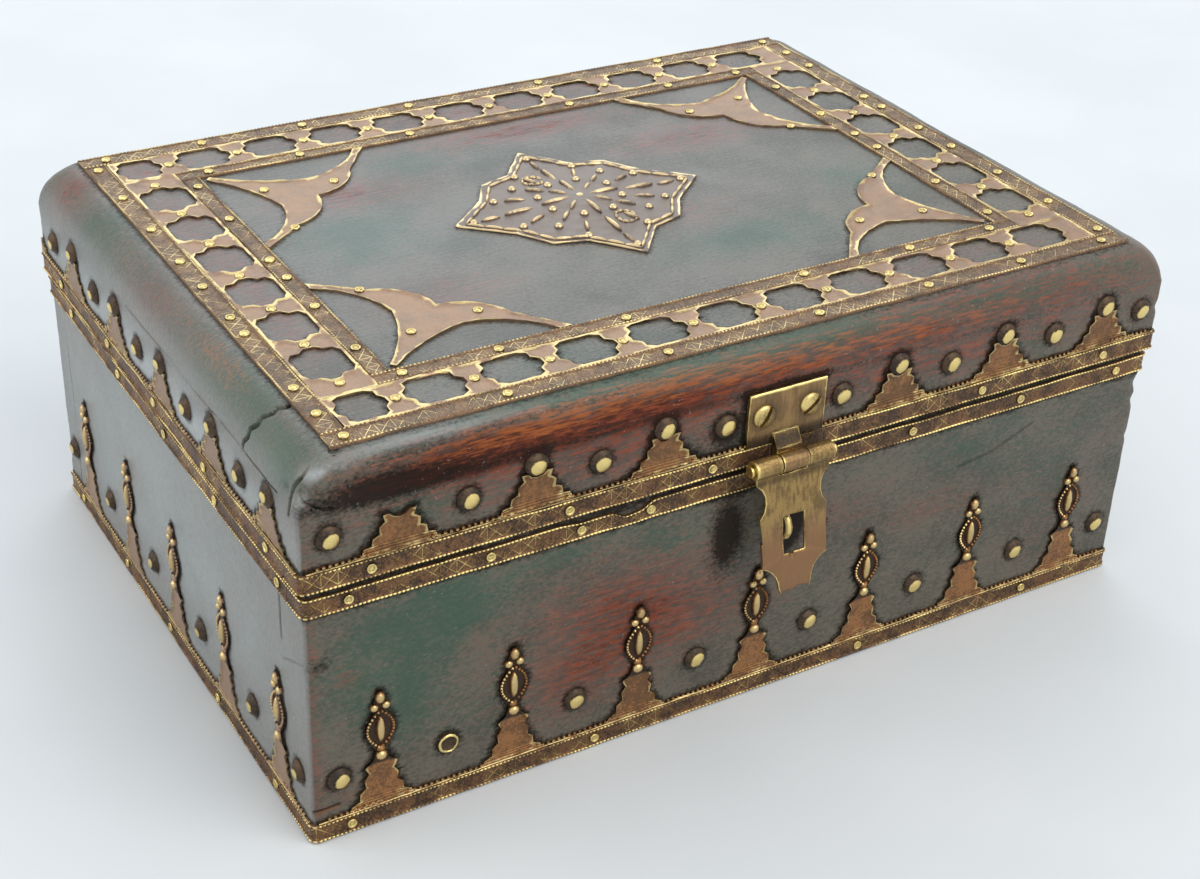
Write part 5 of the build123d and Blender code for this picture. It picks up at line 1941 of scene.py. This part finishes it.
@dataclass
class TopWork:
    """Pierced border, spandrels and medallion on the lid's top."""

    sheet: CutSheet = CutSheet(rim_worn=0.9, field_worn=0.05, hammer=0.2)
    centre_x: float = -4.0
    centre_y: float = 2.0
    half_x: float = 42.0
    half_y: float = 39.0
    highest: float = 120.35
    face: BVHTree | None = None

    def build_sheets(self, dress: bpy.types.Material) -> None:
        """Makes the border's four bands and the four spandrels.

        Args:
            dress: their material.
        """
        nodes = [f"pierced_border_{side.value}" for side in Side]
        nodes += [f"spandrel_{corner}" for corner in CORNERS]
        for node in nodes:
            piece = Workpiece.copy_of(node, BRASS_VALUES)
            webs = node.startswith("pierced")
            sheet = replace(self.sheet, rim_width=1.5) if webs else self.sheet
            sheet.dress_faces(piece, Vector((0, 0, 1)), LID_TOP)
            # The paler tone all over is painted sheen of the lid's top.
            piece.set_value("blush", lambda point: 0.6)
            soot = piece.layers["soot"]
            for vert in piece.mesh.verts:
                darkening = 0.12 + 0.2 * drift(vert.co, 12, 5) if webs else 0.12 * drift(vert.co, 20, 5)
                vert[soot] += darkening
            piece.finish(f"cut_{node}", Body.LID, Slot.CREST, dress, (node,), 35.0)

    def at(self, x: float, y: float, turn: float = 0.0) -> Matrix | None:
        """Placing on the medallion for a place measured from its middle.

        Args:
            x: distance to the right.
            y: distance to the back.
            turn: turn about the upright.

        Returns:
            The placing, or None beside the medallion.
        """
        place = Vector((self.centre_x + x, self.centre_y + y, 2 * LID_TOP))
        hit = self.face.ray_cast(place, Vector((0, 0, -1)))[0]
        if hit is None:
            return None
        return top_placing(place.x, place.y, hit.z - LID_TOP - 0.1, turn)

    def set_down(self, piece: Workpiece, pattern: Pattern, x: float, y: float, turn: float = 0.0) -> None:
        """Sets a pattern down on the medallion's face, unless the place lies beside it.

        Args:
            piece: the medallion.
            pattern: the small shape.
            x: distance to the right of its middle.
            y: distance behind its middle.
            turn: turn about the upright.
        """
        reach = 1.6
        inside = self.at(x + reach * math.cos(turn), y + reach * math.sin(turn))
        outside = self.at(x - reach * math.cos(turn), y - reach * math.sin(turn))
        place = self.at(x, y, turn)
        if place is not None and inside is not None and outside is not None:
            top = place.translation.z + max(vert.co.z for vert in pattern.mesh.vertices)
            sunk = Vector((0, 0, min(0.0, self.highest - top)))
            piece.stamp(pattern, Matrix.Translation(sunk) @ place)

    def outline(self) -> list[Vector]:
        """Corner points of the medallion.

        Returns:
            The points in order.
        """
        wide, deep = self.half_x, self.half_y
        quarter = [(wide, 0.0), (wide * 0.67, deep * 0.31), (wide * 0.52, deep * 0.57),
                   (wide * 0.27, deep * 0.65)]
        right = quarter + [(0.0, deep)] + [(-x, y) for x, y in reversed(quarter)]
        return [Vector((x, y, 0.0)) for x, y in right + [(-x, -y) for x, y in right[1:-1]]]

    def build_medallion(self, dress: bpy.types.Material) -> None:
        """Makes the plate with its boss, rays of ridges, curls and round studs.

        Args:
            dress: its material.
        """
        piece = Workpiece.copy_of("medallion", BRASS_VALUES)
        self.sheet.dress_faces(piece, Vector((0, 0, 1)), LID_TOP)
        piece.set_value("blush", lambda point: 0.7 + 0.5 * drift(point, 9, 5))
        self.face = BVHTree.FromBMesh(piece.mesh)
        stud = Pattern.pellet(1.4, 1.4, 1.3)
        ridge = Pattern.pellet(5.6, 0.85, 1.1, worn=0.75)
        short = Pattern.pellet(3.4, 0.75, 1.0, worn=0.75)
        rim = Pattern.pellet(3.2, 0.6, 0.9, worn=0.9)
        for index in range(8):
            angle = math.pi / 4 * index
            slant = math.sin(angle) * 0.93
            if index % 2 == 0:
                marks = ((8.0, ridge), (20.5, ridge), (30.5, short), (36.0, stud))
            else:
                marks = ((7.0, short), (14.5, short), (22.0, stud))
            for reach, pattern in marks:
                self.set_down(piece, pattern, math.cos(angle) * reach, slant * reach, angle)
            between = angle + math.pi / 8
            self.set_down(piece, stud, math.cos(between) * 13.0, math.sin(between) * 12.0)
            self.set_down(piece, short, math.cos(between) * 20.0, math.sin(between) * 18.5, between)
            self.set_down(piece, stud, math.cos(between) * 26.5, math.sin(between) * 24.5)
        points = self.outline()
        for start, end in zip(points, points[1:] + points[:1]):
            span = end - start
            count = max(1, round(span.length / 7.0))
            for step in range(count):
                spot = start.lerp(end, (step + 0.5) / count) * 0.92
                self.set_down(piece, rim, spot.x, spot.y, math.atan2(span.y, span.x))
        link = Pattern.pellet(1.3, 0.6, 0.9, 1, 0.9)
        for x, y in ((6.0, -17.0), (-7.0, 17.0)):
            for step in range(9):
                angle = math.pi * (0.1 + 0.2 * step)
                aside, ahead = 3.0 * math.cos(angle), 3.4 * math.sin(angle)
                self.set_down(piece, link, x + aside, y + ahead, angle + math.pi / 2)
        self.set_down(piece, Pattern.pellet(2.0, 2.0, 1.5), 0, 0)
        piece.finish("medallion_relief", Body.LID, Slot.CREST, dress, ("medallion",), 45.0)


@dataclass
class HaspWork:
    """Hasp, staple and their screws, with rounded bright edges and stained faces."""

    longest: float = 1.6
    screw_radius: float = 3.5
    slot_half: float = 0.55
    slot_floor: float = 0.2

    def build_screws(self, holes: Sequence[Vector], dress: bpy.types.Material) -> None:
        """Turns two round-headed screws, cuts their slots and sets them in the plate.

        Args:
            holes: highest points of the heads in the middle.
            dress: their material.
        """
        height = 1.5
        profile = [(0, -0.9), (3.5, -0.9), (3.5, 0.35), (3.3, 0.7), (2.7, 1.1), (1.8, 1.35), (0.9, 1.47),
                   (0, height)]
        head = turned(profile, 28)
        for place in (-self.slot_half - 0.08, -self.slot_half, self.slot_half, self.slot_half + 0.08):
            geometry = head.verts[:] + head.edges[:] + head.faces[:]
            bmesh.ops.bisect_plane(head, geom=geometry, dist=0.001, plane_co=(0, place, 0),
                                   plane_no=(0, 1, 0))
        for vert in head.verts:
            if vert.co.z > self.slot_floor and abs(vert.co.y) < self.slot_half + 0.01:
                vert.co.z = self.slot_floor

        def rubbed(point: Vector) -> float:
            """Painted highlight on the upper left half; dark in the slot."""
            return 0.0 if point.z < self.slot_floor + 0.05 else 0.62 + 0.25 * point.y / self.screw_radius

        pattern = Pattern(head, rubbed)
        piece = Workpiece(BRASS_VALUES)
        for index, hole in enumerate(holes):
            front = Wall(Side.FRONT, 0.0, -hole.y)
            turn = math.radians(58 if index == 0 else 40)
            piece.stamp(pattern, front.placing(hole.x, hole.z, -height, turn))
        piece.finish("hasp_screws_worn", Body.LID, Slot.SCREW, dress, ("hasp_screws",), 40.0)

    def softened(self, node: str, name: str, body: Body, slot: Slot, dress: bpy.types.Material,
                 edge: float, hammer: float, values: dict[str, Callable[[Vector], float]]) -> None:
        """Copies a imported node, rounds its edges and marks them as rubbed bright.

        Args:
            node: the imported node.
            name: name of the new piece.
            body: body that it rides on.
            slot: the record's finish.
            dress: its material.
            edge: width of the rounding.
            hammer: how uneven its faces are.
            values: rules for the values of its faces, by name.
        """
        piece = Workpiece.copy_of(node, BRASS_VALUES)
        rim = tree_of(piece.sharp_points(0.3, 0.6))
        sharp = [item for item in piece.mesh.edges if item.is_manifold and item.calc_face_angle() > 0.6]
        bmesh.ops.bevel(piece.mesh, geom=sharp, offset=edge, offset_type="OFFSET", segments=2,
                        profile=0.5, affect="EDGES", clamp_overlap=True, material=-1)
        wide = [face for face in piece.mesh.faces if face.calc_area() > 20.0]
        bmesh.ops.inset_individual(piece.mesh, faces=wide, thickness=0.3, use_even_offset=False)
        piece.refine(lambda face: face.calc_area() > 0.3, self.longest)
        for value, rule in values.items():
            piece.set_value(value, rule)
        worn = piece.layers["worn"]
        for vert in piece.mesh.verts:
            rubbed = 1 - ramp(rim.find(vert.co)[2], 0.1, 0.55)
            vert[worn] = max(vert[worn], 0.85 * rubbed * (1 + 0.4 * drift(vert.co, 4, 2)))
        piece.hammer(hammer, 4.0, 6.0)
        bmesh.ops.triangulate(piece.mesh, faces=piece.mesh.faces)
        piece.finish(name, body, slot, dress, (node,), 35.0)

    def build(self, brass: bpy.types.Material, screw: bpy.types.Material) -> None:
        """Makes the hasp's five pieces.

        Args:
            brass: material of the sheet, the pin and the staple.
            screw: material of the screws.
        """
        low, high = (Vector(corner) * 1000 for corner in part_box("hasp_screws"))
        middle = (low.z + high.z) / 2
        holes = [Vector((low.x + self.screw_radius, low.y, middle)),
                 Vector((high.x - self.screw_radius, low.y, middle))]
        plate = {
            "soot": lambda point: 0.75 * max(bell(min((point - hole).length for hole in holes), 6.5),
                                             bell(point.z - 89, 3.5)),
            "blush": lambda point: 0.35,
            "worn": lambda point: 0.9 * ramp(point.z, 103.2, 104.4) + 0.12,
        }
        leaf = {
            "blush": lambda point: 0.9 * (1 - ramp(point.z, 58.0, 70.0)),
            # Painted shade in a band just below the barrel, and random dark spots.
            "soot": lambda point: 0.5 * bell(point.z - 79.5, 1.6) + 0.12 * max(0.0, drift(point, 5, 4)),
            "worn": lambda point: 0.34 * ramp(point.z, 62.0, 72.0),
        }
        barrel = {
            "blush": lambda point: 0.8,
            "worn": lambda point: 0.6 * ramp(abs(point.x - 2.0), 10.8, 12.4) + 0.15,
        }
        self.softened("hasp_plate", "hasp_plate_worn", Body.LID, Slot.HASP, brass, 0.22, 0.1, plate)
        self.softened("hasp_leaf", "hasp_leaf_worn", Body.HASP, Slot.HASP, brass, 0.25, 0.06, leaf)
        self.softened("hasp_pin", "hasp_pin_worn", Body.LID, Slot.HASP, brass, 0.15, 0.04, barrel)
        self.build_screws(holes, screw)
        self.softened("staple", "staple_worn", Body.CASE, Slot.HASP, brass, 0.1, 0.04,
                      {"worn": lambda point: 0.9})


@dataclass
class Studio:
    """Pale floor, soft light from above and a white surround."""

    floor_half: float = 3.0

    def build_floor(self) -> None:
        """Lays the plain pale floor."""
        shape = bmesh.new()
        bmesh.ops.create_grid(shape, x_segments=1, y_segments=1, size=self.floor_half)
        data = bpy.data.meshes.new("floor")
        shape.to_mesh(data)
        shape.free()
        floor = bpy.data.objects.new("floor", data)
        bpy.context.scene.collection.objects.link(floor)
        bench = Bench("pale_floor")
        drift_of_light = bench.cloud(160, 3).fit(0.35, 0.7)
        colour = bench.blend(drift_of_light, shade(222, 226, 228), shade(229, 232, 234))
        data.materials.append(bench.dress(Base_Color=colour, Roughness=0.75, Specular_IOR_Level=0.2))

    def build_light(self) -> None:
        """Hangs wide soft lamps behind, left and before the box, and lights the surround."""
        for name, place, size, power, colour in (
                ("sky_light", (0.55, 1.35, 1.05), 1.2, 6.6, (0.72, 0.88, 1.0)),
                ("side_light", (-1.4, 0.6, 0.8), 1.2, 7.0, (1.0, 1.0, 1.0)),
                ("window_light", (0.6, -1.3, 1.6), 1.6, 18.0, (1.0, 0.99, 0.97))):
            data = bpy.data.lights.new(name, "AREA")
            data.shape = "SQUARE"
            data.size = size
            data.energy = power
            lamp = bpy.data.objects.new(name, data)
            bpy.context.scene.collection.objects.link(lamp)
            lamp.location = place
            aim_at = Vector((0, 0, 0.05)) - Vector(place)
            lamp.rotation_euler = aim_at.to_track_quat("-Z", "Y").to_euler()
            data.color = colour
        world = bpy.data.worlds.new("surround")
        bpy.context.scene.world = world
        world.use_nodes = True
        tree = world.node_tree
        light = tree.nodes["Background"]
        light.inputs["Color"].default_value = (0.95, 0.975, 1.0, 1.0)
        light.inputs["Strength"].default_value = 0.78
        seen = tree.nodes.new("ShaderNodeBackground")
        seen.inputs["Color"].default_value = (0.96, 0.98, 1.0, 1.0)
        seen.inputs["Strength"].default_value = 1.0
        path = tree.nodes.new("ShaderNodeLightPath")
        either = tree.nodes.new("ShaderNodeMath")
        either.operation = "MAXIMUM"
        tree.links.new(path.outputs["Is Camera Ray"], either.inputs[0])
        tree.links.new(path.outputs["Is Glossy Ray"], either.inputs[1])
        any_ray = tree.nodes.new("ShaderNodeMath")
        any_ray.operation = "MAXIMUM"
        tree.links.new(either.outputs[0], any_ray.inputs[0])
        tree.links.new(path.outputs["Is Transmission Ray"], any_ray.inputs[1])
        mixed = tree.nodes.new("ShaderNodeMixShader")
        tree.links.new(any_ray.outputs[0], mixed.inputs[0])
        tree.links.new(light.outputs[0], mixed.inputs[1])
        tree.links.new(seen.outputs[0], mixed.inputs[2])
        tree.links.new(mixed.outputs[0], tree.nodes["World Output"].inputs["Surface"])
        bpy.context.scene.view_settings.view_transform = "Standard"


@dataclass(frozen=True)
class Viewpoint:
    """Place and turn of the camera that took the photograph, fitted to the box's corners."""

    azimuth: float = -32.03
    elevation: float = 31.34
    roll: float = 2.585
    place: tuple[float, float, float] = (-0.2923, -0.4764, 0.3739)
    lens: float = 60.65

    def build(self) -> None:
        """Sets up the scene's camera."""
        turn, rise = math.radians(self.azimuth), math.radians(self.elevation)
        flat = math.cos(rise)
        back = Vector((math.sin(turn) * flat, -math.cos(turn) * flat, math.sin(rise)))
        right = (-back).cross(Vector((0, 0, 1))).normalized()
        up = right.cross(-back)
        tilt = math.radians(self.roll)
        rolled_right = right * math.cos(tilt) + up * math.sin(tilt)
        rolled_up = up * math.cos(tilt) - right * math.sin(tilt)
        data = bpy.data.cameras.new("camera")
        data.lens = self.lens
        data.sensor_width = 36.0
        data.sensor_fit = "HORIZONTAL"
        data.clip_start = 0.01
        camera = bpy.data.objects.new("camera", data)
        bpy.context.scene.collection.objects.link(camera)
        basis = Matrix((rolled_right, rolled_up, back)).transposed().to_4x4()
        camera.matrix_world = Matrix.Translation(self.place) @ basis
        bpy.context.scene.camera = camera


def dress_nodes(names: Iterable[str], material: bpy.types.Material) -> None:
    """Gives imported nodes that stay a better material.

    Args:
        names: the nodes' names.
        material: the material.
    """
    for name in names:
        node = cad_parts[name]
        for index in range(len(node.material_slots)):
            node.material_slots[index].material = material
        LOG.info("%s keeps its packed shape", name)


def main() -> None:
    """Builds the box in order."""
    logging.basicConfig(level=logging.INFO, format="%(name)s: %(message)s")
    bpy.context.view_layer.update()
    paint = case_and_lid_paint()
    courses = ("foot_strip", "rim_strip", "lid_edge_strip", "outer_strip", "inner_strip",
               "pierced_border", "case_crest", "lid_crest")
    paint.find_fittings([f"{course}_{side.value}" for course in courses for side in Side]
                        + [f"spandrel_{corner}" for corner in CORNERS] + ["medallion", "hasp_plate"])
    old_paint = PaintedTimber("old_paint").material()
    strip_brass = STRIP_BRASS.material()
    sheened_top_brass = SHEENED_TOP_BRASS.material()
    crest_brass = CREST_BRASS.material()
    medallion_brass = MEDALLION_BRASS.material()
    nail_brass = NAIL_BRASS.material()
    hasp_brass = HASP_BRASS.material()
    bare = BareTimber().material()
    nails = NailWork()
    nails.build_domes(Body.CASE, nail_brass, paint)
    nails.build_domes(Body.LID, nail_brass, paint)
    nails.build_flats(nail_brass)
    boards = tuple(f"case_{side.value}_board" for side in (Side.FRONT, Side.BACK, Side.LEFT, Side.RIGHT))
    TimberRing("case_walls", Body.CASE, boards, case_levels()).build(paint, old_paint)
    rails = tuple(f"lid_{side.value}_rail" for side in (Side.FRONT, Side.BACK, Side.LEFT, Side.RIGHT))
    TimberRing("lid_rails", Body.LID, rails, lid_levels(), side_reach=36.0).build(paint, old_paint)
    LidPanel().build(paint, old_paint)
    StripWork().build(strip_brass, sheened_top_brass)
    crests = CrestWork()
    crests.build(Body.CASE, crest_brass)
    crests.build(Body.LID, crest_brass)
    top = TopWork()
    top.build_sheets(crest_brass)
    top.build_medallion(medallion_brass)
    HaspWork().build(hasp_brass, hasp_brass)
    dress_nodes(("base_board",), bare)
    dress_nodes(("hinge_case_leaf_left", "hinge_case_leaf_right", "hinge_lid_leaves", "hinge_pins",
                 "hinge_case_screws", "hinge_lid_screws"), hasp_brass)
    Studio().build_floor()
    Studio().build_light()
    Viewpoint().build()


if __name__ == "__main__":
    main()
